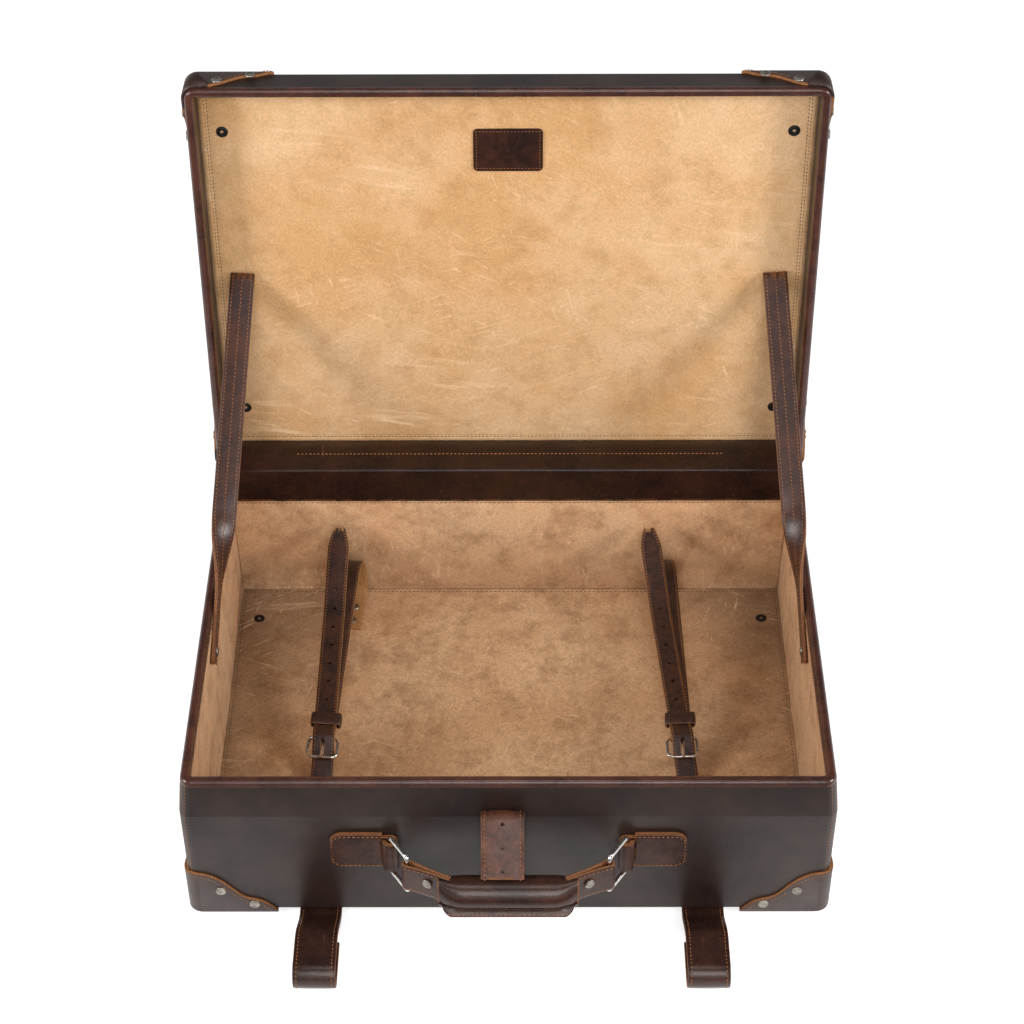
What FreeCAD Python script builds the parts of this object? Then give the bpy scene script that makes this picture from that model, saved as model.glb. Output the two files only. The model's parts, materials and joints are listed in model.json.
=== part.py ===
"""Leather suitcase: an open case with a hinged lid, packing straps, belts and a carrying handle.

Units are millimetres. X runs along the width, -Y is the front with the handle, +Z is up.
The origin is on the ground under the middle of the case. The lid is drawn closed and then
turned back about its hinge to the open pose in which the part is stored.
"""
import FreeCAD, Part
import math
import os

from FreeCAD import Vector

# Case body
CASE_WIDTH = 550.0
CASE_DEPTH = 408.0
RIM_HEIGHT = 162.0
CREASE_DROP = 38.0
RIM_INSET = 3.6
FOOT_INSET = 0.8
LINING_LEAN = 3.4
CORNER_RADIUS = 10.0
LINING_CORNER = 2.0
BASE_CHAMFER = 2.5
WALL = 7.0
LINING = 2.0
BASE_LEATHER = 3.0
BASE_BOARD = 6.8
RIM_ROLL_HEIGHT = 6.0
RIM_ROLL_RADIUS = 3.4
HINGE_BAND_HEIGHT = 27.0

# Lid
LID_WIDTH = 552.0
LID_LENGTH = 398.4
LID_DEPTH = 40.0
LID_FRONT_DEPTH = 32.0
LID_WALL = 8.0
LID_PANEL = 4.5
LID_LINING = 1.8
LID_EDGE_RADIUS = 4.0
LID_ROLL_HEIGHT = 6.0
LID_ROLL_RADIUS = 3.0
LID_BAND = 1.6
OPEN_ANGLE = 93.8
RIM_GAP = 0.4
HINGE_GAP = 0.3
HINGE_END_SETBACK = 84.0
HINGE_BODY_SETBACK = 16.0
HINGE_FLAP = 2.0
HINGE_FLAP_HEIGHT = 34.0
HINGE_BEND = 3.2
LABEL_WIDTH = 61.0
LABEL_HEIGHT = 42.0
LABEL_THICKNESS = 1.6
LABEL_FROM_FRONT = 72.0

# Corner caps and their rivets
CAP_THICKNESS = 2.6
CAP_REACH = 75.0
CAP_FLAT_REACH = 86.0
CAP_HEIGHT = 48.0
LID_CAP_RIM_SETBACK = 4.0
OGEE = ((0.22, 0.97), (0.40, 0.78), (0.52, 0.56), (0.66, 0.36), (0.82, 0.27), (0.93, 0.13))
RIVET_RADIUS = 4.6
RIVET_HEIGHT = 1.4
CAP_RIVETS = ((0.37, 0.52), (0.74, 0.16))

# Studs through the base and the lid panel
STUD_RADIUS = 5.5
STUD_HEIGHT = 1.6
STUD_HOLE_RADIUS = 1.5
BASE_STUD_FROM_SIDE = 32.0
BASE_STUD_FROM_BACK = 55.0
LID_STUD_FROM_SIDE = 27.0
LID_STUD_FROM_HINGE = 49.0
LID_STUD_FROM_FRONT = 53.8

# Belts under the case
BELT_WIDTH = 36.0
BELT_THICKNESS = 4.6
BELT_FROM_SIDE = 110.0
BELT_OFFSET = 2.5
BELT_FROM_BACK = 17.0
BELT_LOOP_REACH = 88.0
BELT_LOOP_HEIGHT = 22.0
BELT_LIFT_OFF = 7.0
BELT_RISE = 42.0
BELT_BEND_RADIUS = 30.0
BELT_RETURN = 48.0
CENTRE_BELT_X = -4.6
CENTRE_BELT_GAP = 0.8
CENTRE_BELT_BEND = 4.0
CENTRE_BELT_OVER_TAB = 55.0
CENTRE_BELT_JOIN_OVER_TAB = 27.0
CENTRE_TIP_REST = 0.8

# Packing straps inside the case
PACK_WIDTH = 20.0
PACK_THICKNESS = 2.6
CHAPE_THICKNESS = 2.2
PACK_TILT = 13.0
BUCKLE_Y = -42.0
BUCKLE_LIFT = 20.6
BUCKLE_WIDTH = 27.5
BUCKLE_LENGTH = 20.0
BUCKLE_CORNER = 5.0
BUCKLE_WIRE = 1.5
PRONG_RADIUS = 1.2
PRONG_BUSH = 2.9
PRONG_WIDTH = 3.0
PRONG_SLOT = 3.6
BAR_CLEARANCE = 0.3
STRAP_CLEARANCE = 0.5
STRAP_CROSSING = 14.0
KEEPER_FROM_BUCKLE = 28.0
KEEPER_LENGTH = 12.0
KEEPER_WALL = 1.6
KEEPER_SIDE_PLAY = 2.4
CHAPE_LOOP_RADIUS = 38.0
CHAPE_FOOT_RADIUS = 13.0
CHAPE_WALL_GAP = 3.0
CHAPE_FROM_BACK = 70.0
STRAP_FROM_FRONT = 35.0
STRAP_FLAT_BEFORE_BUCKLE = 40.0
STRAP_LIFT_FROM_BACK = 103.0
STRAP_TIP_FROM_BACK = 23.0
STRAP_TIP_LIFT = 88.0
STRAP_TIP_WIDTH = 11.0
STRAP_TIP_LENGTH = 18.0
STRAP_HOLE_RADIUS = 1.6
STRAP_HOLE_PITCH = 20.0
STRAP_HOLES = 7
PACK_RIVET_SPACING = 19.0
PACK_RIVET_FROM_END = 11.0
FLOOR_CLEARANCE = 0.2
PACK_SIDES = {
    "left": {"side": -1, "from_side": 107.0, "strap_skew": -1.5, "chape_skew": -5.0},
    "right": {"side": 1, "from_side": 119.0, "strap_skew": 6.5, "chape_skew": 2.5},
}

# Lid stays
STAY_WIDTH = 22.0
STAY_THICKNESS = 3.4
STAY_FROM_LID_SIDE = 35.0
STAY_FROM_HINGE = 200.0
STAY_BODY_Y = -21.0
STAY_BODY_DROP = 39.0
STAY_RIM_Y = 25.0
STAY_CLEARANCE = 1.0
STAY_LID_GAP = 2.4
STAY_TWIST_STEPS = 6

# Handle
TAB_LENGTH = 46.0
TAB_WIDTH = 44.0
TAB_THICKNESS = 5.0
TAB_CORNER = 13.0
TAB_DROP = 76.5
FOLD_X = 99.0
FOLD_RADIUS = 7.0
FOLD_WIDTH = 34.0
FOLD_GAP = 0.3
RING_WIRE = 2.1
RING_LENGTH = 27.0
RING_CORNER = 3.6
RING_SWING = 56.0
RING_CLEARANCE = 0.4
HANDLE_LEATHER = 2.6
HANDLE_END_WIDTH = 30.0
GRIP_LENGTH = 108.0
GRIP_RADIUS = 11.5
GRIP_END_THICKNESS = 8.0
GRIP_END_WIDTH = 26.0
GRIP_CORE_RADIUS = 8.0
GRIP_CORE_LENGTH = 80.0
GRIP_CORE_CLEARANCE = 0.2
GRIP_REACH = 36.0
GRIP_DROP = 2.5
FLANGE_WIDTH = 12.0
FLANGE_THICKNESS = 5.2
FLANGE_LENGTH = 98.0
FLANGE_ANGLE = 45.0

# Heights and places that follow from the sizes above
BASE_Z = BELT_THICKNESS
BOARD_Z = BASE_Z + BASE_LEATHER
LINING_Z = BOARD_Z + BASE_BOARD
FLOOR_Z = LINING_Z + LINING
WALL_TOP = RIM_HEIGHT - RIM_ROLL_HEIGHT
CREASE_HEIGHT = RIM_HEIGHT - CREASE_DROP
BAND_Z = WALL_TOP - HINGE_BAND_HEIGHT
INNER = WALL + LINING
HINGE_Y = CASE_DEPTH / 2 - RIM_INSET + HINGE_GAP
HINGE_Z = RIM_HEIGHT + RIM_GAP / 2
LID_RIM_Z = RIM_HEIGHT + RIM_GAP
LID_TOP_Z = LID_RIM_Z + LID_DEPTH
LID_LINING_Z = LID_TOP_Z - LID_PANEL - LID_LINING
LID_SLOPE = (LID_DEPTH - LID_FRONT_DEPTH) / LID_LENGTH
LID_MID_Y = HINGE_Y - LID_LENGTH / 2
BUCKLE_Z = FLOOR_Z + BUCKLE_LIFT
HINGE_LENGTH = LID_WIDTH - 2 * HINGE_END_SETBACK
HINGE_BODY_LENGTH = CASE_WIDTH - 2 * HINGE_BODY_SETBACK
LABEL_FROM_HINGE = LID_LENGTH - LABEL_FROM_FRONT
BASE_STUD_X = CASE_WIDTH / 2 - BASE_STUD_FROM_SIDE
BASE_STUD_Y = CASE_DEPTH / 2 - BASE_STUD_FROM_BACK
LID_STUD_X = LID_WIDTH / 2 - LID_STUD_FROM_SIDE
BELT_X = CASE_WIDTH / 2 - BELT_FROM_SIDE
BELT_BACK = CASE_DEPTH / 2 - BELT_FROM_BACK
TAB_HEIGHT = RIM_HEIGHT - TAB_DROP
CENTRE_BELT_TOP = TAB_HEIGHT + CENTRE_BELT_OVER_TAB
CENTRE_BELT_JOIN = TAB_HEIGHT + CENTRE_BELT_JOIN_OVER_TAB
CHAPE_END_Y = CASE_DEPTH / 2 - CHAPE_FROM_BACK
STRAP_FRONT_Y = -CASE_DEPTH / 2 + STRAP_FROM_FRONT
STRAP_FLAT_END_Y = BUCKLE_Y - STRAP_FLAT_BEFORE_BUCKLE
STRAP_LIFT_Y = CASE_DEPTH / 2 - STRAP_LIFT_FROM_BACK
STRAP_TIP_Y = CASE_DEPTH / 2 - STRAP_TIP_FROM_BACK
STAY_LID_X = LID_WIDTH / 2 - STAY_FROM_LID_SIDE
STAY_BODY_Z = RIM_HEIGHT - STAY_BODY_DROP
MARGIN = 30.0


def rounded_rectangle(width, depth, radius, z, middle_y=0.0):
    """Return a closed wire: a rectangle with round corners, level at height z."""
    x = width / 2
    y = depth / 2
    cut = radius * (1 - math.sqrt(0.5))
    edges = []
    corners = ((1, -1), (1, 1), (-1, 1), (-1, -1))
    ends = []
    for sx, sy in corners:
        low = Vector(sx * x, middle_y + sy * (y - radius), z)
        flat = Vector(sx * (x - radius), middle_y + sy * y, z)
        middle = Vector(sx * (x - cut), middle_y + sy * (y - cut), z)
        first, last = (flat, low) if sx * sy < 0 else (low, flat)
        ends.append((first, middle, last))
    for index, (first, middle, last) in enumerate(ends):
        edges.append(Part.Arc(first, middle, last).toShape())
        following = ends[(index + 1) % len(ends)][0]
        edges.append(Part.LineSegment(last, following).toShape())
    return Part.Wire(edges)


def case_inset(z):
    """Return how far the case's outer face lies inside its crease at height z."""
    if z > CREASE_HEIGHT:
        return RIM_INSET * (z - CREASE_HEIGHT) / (RIM_HEIGHT - CREASE_HEIGHT)
    return FOOT_INSET * (CREASE_HEIGHT - z) / (CREASE_HEIGHT - BASE_Z)


def case_block(inset, low, high, chamfer=0.0, lean=0.0):
    """Return the case's form from low to high, its faces moved inwards by inset.

    lean moves the faces further in towards the base, from nothing at the crease.
    """
    levels = [(low, inset + chamfer)]
    if chamfer:
        levels.append((low + chamfer, inset))
    if low < CREASE_HEIGHT < high:
        levels.append((CREASE_HEIGHT, inset))
    levels.append((high, inset))
    wires = []
    for z, shift in levels:
        below = max(CREASE_HEIGHT - z, 0.0) / (CREASE_HEIGHT - BASE_Z)
        total = case_inset(z) + shift + lean * below
        radius = max(CORNER_RADIUS - inset, LINING_CORNER)
        wires.append(rounded_rectangle(CASE_WIDTH - 2 * total, CASE_DEPTH - 2 * total, radius, z))
    return Part.makeLoft(wires, True, True)


def lid_block(inset, low, high):
    """Return the closed lid's form from low to high, its walls moved inwards by inset."""
    radius = max(CORNER_RADIUS - inset, LINING_CORNER)
    wire = rounded_rectangle(LID_WIDTH - 2 * inset, LID_LENGTH - 2 * inset, radius, low, LID_MID_Y)
    return Part.Face(wire).extrude(Vector(0, 0, high - low))


def panel_z(y, drop=0.0):
    """Return the height of the closed lid's sloping panel at y, or of a face drop below it."""
    return LID_TOP_Z - drop - (HINGE_Y - y) * LID_SLOPE


def under_panel(shape, drop):
    """Return the part of a shape that lies below the lid's panel, or below a face drop under it."""
    front = HINGE_Y - 2 * LID_LENGTH
    back = HINGE_Y + LID_LENGTH
    high = LID_TOP_Z + 2 * MARGIN
    points = [
        Vector(-LID_WIDTH, front, panel_z(front, drop)),
        Vector(-LID_WIDTH, back, panel_z(back, drop)),
        Vector(-LID_WIDTH, back, high),
        Vector(-LID_WIDTH, front, high),
    ]
    return shape.cut(prism(points, Vector(2 * LID_WIDTH, 0, 0)))


def round_panel_edges(shape, drop, radius):
    """Return the shape with the edges that lie on the panel, or on a face drop below it, rounded."""
    edges = []
    for edge in shape.Edges:
        if all(abs(v.Z - panel_z(v.Y, drop)) < 1e-4 for v in edge.Vertexes):
            edges.append(edge)
    return shape.makeFillet(radius, edges)


def box(low, high):
    """Return the box between two opposite corners."""
    size = [b - a for a, b in zip(low, high)]
    return Part.makeBox(size[0], size[1], size[2], Vector(*low))


def prism(points, direction):
    """Return the solid that a closed polygon sweeps along a straight direction."""
    return Part.Face(Part.makePolygon(list(points) + [points[0]])).extrude(direction)


def opened(shape):
    """Return a piece of the closed lid turned back to the open pose."""
    return shape.rotated(Vector(0, HINGE_Y, HINGE_Z), Vector(1, 0, 0), -OPEN_ANGLE)


def mirrored(shape):
    """Return the left-hand twin of a right-hand piece."""
    return shape.mirror(Vector(0, 0, 0), Vector(1, 0, 0))


def round_edges_at(shape, z, radius):
    """Return the shape with every edge that lies level at height z rounded."""
    edges = [e for e in shape.Edges if abs(e.BoundBox.ZMin - z) < 1e-4 and abs(e.BoundBox.ZMax - z) < 1e-4]
    return shape.makeFillet(radius, edges)


def bent_path(points, radii):
    """Return a wire of straight runs in the YZ plane, joined by tangent arcs."""
    points = [Vector(0, y, z) for y, z in points]
    edges = []
    last = points[0]
    for before, corner, after, radius in zip(points, points[1:], points[2:], radii):
        back = (before - corner).normalize()
        ahead = (after - corner).normalize()
        half = back.getAngle(ahead) / 2
        start = corner + back * (radius / math.tan(half))
        end = corner + ahead * (radius / math.tan(half))
        middle = corner + (back + ahead).normalize() * (radius / math.sin(half) - radius)
        edges.append(Part.LineSegment(last, start).toShape())
        edges.append(Part.Arc(start, middle, end).toShape())
        last = end
    edges.append(Part.LineSegment(last, points[-1]).toShape())
    return Part.Wire(edges)


def strap(points, radii, thickness, width):
    """Return a flat strap along a bent path, centred on X.

    A positive thickness grows to the right of the direction of travel, seen with Y to the
    right and Z up, and a negative one to the left.
    """
    face = bent_path(points, radii).makeOffset2D(thickness, 0, True, True, False)
    return face.translated(Vector(-width / 2, 0, 0)).extrude(Vector(width, 0, 0))


def dome(radius, height, place, normal):
    """Return a low rivet head that stands on a face at a place, along its normal."""
    head = Part.makeCone(radius, radius * 0.62, height)
    return stand(head, place, normal)


def stand(shape, place, normal):
    """Return a shape drawn along +Z from the origin, stood at a place along a normal."""
    turn = FreeCAD.Rotation(Vector(0, 0, 1), normal)
    shape = shape.copy()
    shape.Placement = FreeCAD.Placement(place, turn)
    return shape


def wire_frame(width, length, corner, wire_radius):
    """Return a rectangular ring of round wire in the XY plane, sized on the wire's centre line."""
    path = rounded_rectangle(width, length, corner, 0.0)
    start = path.Edges[1].valueAt(path.Edges[1].FirstParameter)
    along = path.Edges[1].tangentAt(path.Edges[1].FirstParameter)
    path = Part.Wire(path.Edges[1:] + path.Edges[:1])
    circle = Part.Wire(Part.makeCircle(wire_radius, start, along))
    return path.makePipeShell([circle], True, False)


def case_body():
    """Return the case's shell, base board, linings, hinge band and rolled rim."""
    shell = case_block(0, BASE_Z, WALL_TOP, BASE_CHAMFER)
    shell = shell.cut(case_block(WALL, BOARD_Z, WALL_TOP + MARGIN))
    board = case_block(WALL, BOARD_Z, LINING_Z)
    floor = case_block(WALL, LINING_Z, FLOOR_Z)
    ring = case_block(WALL, FLOOR_Z, WALL_TOP)
    ring = ring.cut(case_block(INNER, FLOOR_Z - 1, WALL_TOP + 1, 0.0, LINING_LEAN))
    nodes = {"body_shell": shell, "base_board": board, "floor_lining": floor}
    reach = 2.0
    x = reach * (CASE_WIDTH / 2 - INNER)
    y = reach * (CASE_DEPTH / 2 - INNER)
    corners = {
        "front": ((-x, -y), (x, -y)),
        "right": ((x, -y), (x, y)),
        "back": ((x, y), (-x, y)),
        "left": ((-x, y), (-x, -y)),
    }
    for side, ends in corners.items():
        points = [Vector(0, 0, 0)] + [Vector(a, b, 0) for a, b in ends]
        wedge = prism(points, Vector(0, 0, RIM_HEIGHT))
        nodes["lining_" + side] = ring.common(wedge)
    band_zone = box((-CASE_WIDTH, 0, BAND_Z), (CASE_WIDTH, CASE_DEPTH, RIM_HEIGHT))
    nodes["body_hinge_band"] = nodes["lining_back"].common(band_zone)
    nodes["lining_back"] = nodes["lining_back"].cut(band_zone)
    roll = case_block(0, WALL_TOP, RIM_HEIGHT).cut(case_block(INNER, WALL_TOP - 1, RIM_HEIGHT + 1))
    nodes["body_rim_roll"] = round_edges_at(roll, RIM_HEIGHT, RIM_ROLL_RADIUS)
    skin = case_block(-HINGE_FLAP, RIM_HEIGHT - HINGE_FLAP_HEIGHT, RIM_HEIGHT - HINGE_FLAP / 2)
    skin = skin.cut(case_block(0, BASE_Z, RIM_HEIGHT + MARGIN))
    flap_zone = box((-HINGE_BODY_LENGTH / 2, 0, 0), (HINGE_BODY_LENGTH / 2, CASE_DEPTH, LID_TOP_Z))
    nodes["hinge_flap_body"] = skin.common(flap_zone)
    return nodes


def ogee_face(reach, height, place):
    """Return a cap's outline on one wall: an ogee from the corner edge to the far end.

    place turns a pair of distances, along the reach and along the height, into a point.
    """
    points = [(0, height)] + [(a * reach, b * height) for a, b in OGEE] + [(reach, 0)]
    curve = Part.BSplineCurve()
    curve.interpolate([place(a, b) for a, b in points])
    drop = -CAP_THICKNESS - MARGIN
    outline = [place(reach, 0), place(reach, drop), place(drop, drop), place(drop, height), place(0, height)]
    edges = [curve.toShape()]
    for first, last in zip(outline, outline[1:]):
        edges.append(Part.LineSegment(first, last).toShape())
    return Part.Face(Part.Wire(edges))


def corner_cap(skin, corner, heights, depth):
    """Return one corner cap: a leather skin trimmed to an ogee on its three walls.

    corner is the corner's point, with signs that point inwards along X, Y and Z, heights
    are the cap's reach along Z on the two upright walls and along Y on the level one.
    """
    point, sx, sy, sz = corner
    upright, level = heights
    x, y, z = point

    def front(a, b):
        return Vector(x + sx * a, y - sy * MARGIN, z + sz * b)

    def side(a, b):
        return Vector(x - sx * MARGIN, y + sy * a, z + sz * b)

    def flat(a, b):
        return Vector(x + sx * a, y + sy * b, z - sz * MARGIN)

    zones = [
        ogee_face(CAP_REACH, upright, front).extrude(Vector(0, sy * (MARGIN + depth), 0)),
        ogee_face(CAP_REACH, upright, side).extrude(Vector(sx * (MARGIN + depth), 0, 0)),
        ogee_face(CAP_REACH, level, flat).extrude(Vector(0, 0, sz * (MARGIN + depth))),
    ]
    walls = [skin.common(zone) for zone in zones]
    return walls[0].fuse(walls[1:]).removeSplitter()


def body_caps():
    """Return the four caps on the case's lower corners and their rivets."""
    skin = case_block(-CAP_THICKNESS, BASE_Z - CAP_THICKNESS, CREASE_HEIGHT, BASE_CHAMFER)
    skin = skin.cut(case_block(0, BASE_Z, CREASE_HEIGHT + 1, BASE_CHAMFER))
    nodes = {}
    rivets = []
    half_x = CASE_WIDTH / 2 - FOOT_INSET
    half_y = CASE_DEPTH / 2 - FOOT_INSET
    lean = math.atan2(FOOT_INSET, CREASE_HEIGHT - BASE_Z)
    for name, sx, sy in corner_signs():
        corner = (Vector(-sx * half_x, -sy * half_y, BASE_Z), sx, sy, 1)
        nodes["body_cap_" + name] = corner_cap(skin, corner, (CAP_HEIGHT, CAP_FLAT_REACH), FOOT_INSET + 1)
        for along, up in CAP_RIVETS:
            z = BASE_Z + BASE_CHAMFER + up * CAP_HEIGHT
            out = FOOT_INSET - case_inset(z) + CAP_THICKNESS
            far = along * CAP_REACH
            on_front = Vector(-sx * (half_x - far), -sy * (half_y + out), z)
            on_side = Vector(-sx * (half_x + out), -sy * (half_y - far), z)
            front_normal = Vector(0, -sy * math.cos(lean), -math.sin(lean))
            side_normal = Vector(-sx * math.cos(lean), 0, -math.sin(lean))
            rivets.append(dome(RIVET_RADIUS, RIVET_HEIGHT, on_front, front_normal))
            rivets.append(dome(RIVET_RADIUS, RIVET_HEIGHT, on_side, side_normal))
    nodes["body_cap_rivets"] = Part.makeCompound(rivets)
    return nodes


def corner_signs():
    """Return each corner's name with the signs that point inwards from it along X and Y."""
    return (("front_left", 1, 1), ("front_right", -1, 1), ("back_left", 1, -1), ("back_right", -1, -1))


def lid():
    """Return the lid's shell, lining, rolled rim, hinge pieces and label patch, opened."""
    lining_drop = LID_PANEL + LID_LINING
    shell = under_panel(lid_block(0, LID_RIM_Z + LID_ROLL_HEIGHT, LID_TOP_Z + MARGIN), 0)
    shell = round_panel_edges(shell, 0, LID_EDGE_RADIUS)
    hollow = lid_block(LID_WALL, LID_RIM_Z, LID_TOP_Z)
    shell = shell.cut(under_panel(hollow, LID_PANEL))
    lining = under_panel(hollow, LID_PANEL).cut(under_panel(hollow, lining_drop))
    roll = lid_block(0, LID_RIM_Z, LID_RIM_Z + LID_ROLL_HEIGHT)
    roll = roll.cut(lid_block(LID_WALL, LID_RIM_Z - 1, LID_TOP_Z))
    roll = round_edges_at(roll, LID_RIM_Z, LID_ROLL_RADIUS)
    inner_back = HINGE_Y - LID_WALL
    half = LID_WIDTH / 2 - CORNER_RADIUS
    band_top = panel_z(inner_back - LID_BAND, lining_drop)
    band = box((-half, inner_back - LID_BAND, LID_RIM_Z + LID_ROLL_HEIGHT), (half, inner_back, band_top))
    flap_low = LID_RIM_Z + HINGE_BEND
    flap = box(
        (-HINGE_LENGTH / 2, HINGE_Y, flap_low),
        (HINGE_LENGTH / 2, HINGE_Y + HINGE_FLAP, flap_low + HINGE_FLAP_HEIGHT - HINGE_BEND),
    )
    label_y = HINGE_Y - LABEL_FROM_HINGE
    label = box(
        (-LABEL_WIDTH / 2, label_y - LABEL_HEIGHT / 2, LID_LINING_Z - LABEL_THICKNESS),
        (LABEL_WIDTH / 2, label_y + LABEL_HEIGHT / 2, LID_LINING_Z),
    )
    upright = [e for e in label.Edges if e.BoundBox.ZLength > LABEL_THICKNESS / 2]
    label = label.makeFillet(LABEL_HEIGHT / 10, upright)
    label = label.rotated(Vector(0, label_y, LID_LINING_Z), Vector(1, 0, 0), math.degrees(math.atan(LID_SLOPE)))
    label = label.translated(Vector(0, 0, panel_z(label_y, lining_drop) - LID_LINING_Z))
    nodes = {
        "lid_shell": shell,
        "lid_lining": lining,
        "lid_rim_roll": roll,
        "lid_hinge_band": band,
        "hinge_flap_lid": flap,
        "lid_label_patch": label,
    }
    nodes.update(lid_caps())
    nodes["lid_studs"] = lid_studs()
    return {name: opened(shape) for name, shape in nodes.items()}


def lid_caps():
    """Return the four caps on the closed lid's upper corners and their rivets."""
    low = LID_RIM_Z + LID_CAP_RIM_SETBACK
    skin = under_panel(lid_block(-CAP_THICKNESS, low, LID_TOP_Z + MARGIN), -CAP_THICKNESS)
    skin = round_panel_edges(skin, -CAP_THICKNESS, LID_EDGE_RADIUS + CAP_THICKNESS)
    inside = under_panel(lid_block(0, low - 1, LID_TOP_Z + MARGIN), 0)
    skin = skin.cut(round_panel_edges(inside, 0, LID_EDGE_RADIUS))
    depth = 1.0 + CAP_FLAT_REACH * LID_SLOPE
    nodes = {}
    rivets = []
    half_x = LID_WIDTH / 2
    half_y = LID_LENGTH / 2
    for name, sx, sy in corner_signs():
        corner_y = LID_MID_Y - sy * half_y
        top = panel_z(corner_y)
        height = top - low
        corner = (Vector(-sx * half_x, corner_y, top), sx, sy, -1)
        nodes["lid_cap_" + name] = corner_cap(skin, corner, (height, CAP_FLAT_REACH), depth)
        for along, up in CAP_RIVETS:
            z = top - LID_EDGE_RADIUS - up * height
            far = along * CAP_REACH
            on_front = Vector(-sx * (half_x - far), LID_MID_Y - sy * (half_y + CAP_THICKNESS), z)
            on_side = Vector(-sx * (half_x + CAP_THICKNESS), LID_MID_Y - sy * (half_y - far), z)
            rivets.append(dome(RIVET_RADIUS, RIVET_HEIGHT, on_front, Vector(0, -sy, 0)))
            rivets.append(dome(RIVET_RADIUS, RIVET_HEIGHT, on_side, Vector(-sx, 0, 0)))
    nodes["lid_cap_rivets"] = Part.makeCompound(rivets)
    return nodes


def stud(place, normal):
    """Return a tubular stud's head, with its small centre hole."""
    head = Part.makeCone(STUD_RADIUS, STUD_RADIUS * 0.7, STUD_HEIGHT)
    head = head.cut(Part.makeCylinder(STUD_HOLE_RADIUS, STUD_HEIGHT, Vector(0, 0, STUD_HEIGHT / 2)))
    return stand(head, place, normal)


def base_studs():
    """Return the studs through the base: a head on the floor lining and one under each cap."""
    heads = []
    for sx in (-1, 1):
        for sy in (-1, 1):
            x = sx * BASE_STUD_X
            y = sy * BASE_STUD_Y
            heads.append(stud(Vector(x, y, FLOOR_Z), Vector(0, 0, 1)))
            heads.append(stud(Vector(x, y, BASE_Z - CAP_THICKNESS), Vector(0, 0, -1)))
    return Part.makeCompound(heads)


def lid_studs():
    """Return the studs through the closed lid's panel, with a head on the lining and on the cap."""
    heads = []
    normal = Vector(0, -LID_SLOPE, 1).normalize()
    for sx in (-1, 1):
        for y in (HINGE_Y - LID_STUD_FROM_HINGE, HINGE_Y - LID_LENGTH + LID_STUD_FROM_FRONT):
            inside = panel_z(y, LID_PANEL + LID_LINING)
            heads.append(stud(Vector(sx * LID_STUD_X, y, inside), normal * -1))
            heads.append(stud(Vector(sx * LID_STUD_X, y, panel_z(y, -CAP_THICKNESS)), normal))
    return Part.makeCompound(heads)


def belts():
    """Return the outer belts with their loops on the ground, and the centre belt with its tip."""
    front = -CASE_DEPTH / 2
    loop = front - BELT_LOOP_REACH + BELT_THICKNESS
    turn = (BELT_LOOP_HEIGHT - BELT_THICKNESS) / 2
    outer = strap(
        (
            (BELT_BACK, 0),
            (front - BELT_LIFT_OFF, 0),
            (front - BELT_RISE, BELT_LOOP_HEIGHT),
            (loop, BELT_LOOP_HEIGHT),
            (loop, BELT_THICKNESS),
            (loop + BELT_RETURN, BELT_THICKNESS),
        ),
        (BELT_BEND_RADIUS, BELT_BEND_RADIUS, turn * 0.98, turn * 0.98),
        BELT_THICKNESS,
        BELT_WIDTH,
    )
    wall = front - CENTRE_BELT_GAP
    face = wall - BELT_THICKNESS
    centre = strap(
        ((BELT_BACK, BASE_Z), (wall, BASE_Z), (wall, CENTRE_BELT_JOIN)),
        (CENTRE_BELT_BEND,),
        -BELT_THICKNESS,
        BELT_WIDTH,
    )
    grip_y, grip_z = grip_axis()
    tip = strap(
        (
            (face, CENTRE_BELT_JOIN),
            (face, CENTRE_BELT_TOP),
            (grip_y, grip_z + GRIP_RADIUS + CENTRE_TIP_REST),
        ),
        (CENTRE_BELT_BEND,),
        BELT_THICKNESS,
        BELT_WIDTH,
    )
    return {
        "belt_left": outer.translated(Vector(BELT_OFFSET - BELT_X, 0, 0)),
        "belt_right": outer.translated(Vector(BELT_OFFSET + BELT_X, 0, 0)),
        "belt_centre": centre.translated(Vector(CENTRE_BELT_X, 0, 0)),
        "belt_centre_tip": tip.translated(Vector(CENTRE_BELT_X, 0, 0)),
    }


def on_buckle(along, up):
    """Return the Y and Z of a point given along and above the middle of a packing buckle."""
    tilt = math.radians(PACK_TILT)
    y = BUCKLE_Y + along * math.cos(tilt) - up * math.sin(tilt)
    z = BUCKLE_Z + along * math.sin(tilt) + up * math.cos(tilt)
    return (y, z)


def buckled(shape):
    """Return a piece drawn flat, with Y along the strap, tilted onto the buckle's place."""
    shape = shape.rotated(Vector(0, 0, 0), Vector(1, 0, 0), PACK_TILT)
    return shape.translated(Vector(0, BUCKLE_Y, BUCKLE_Z))


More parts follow.
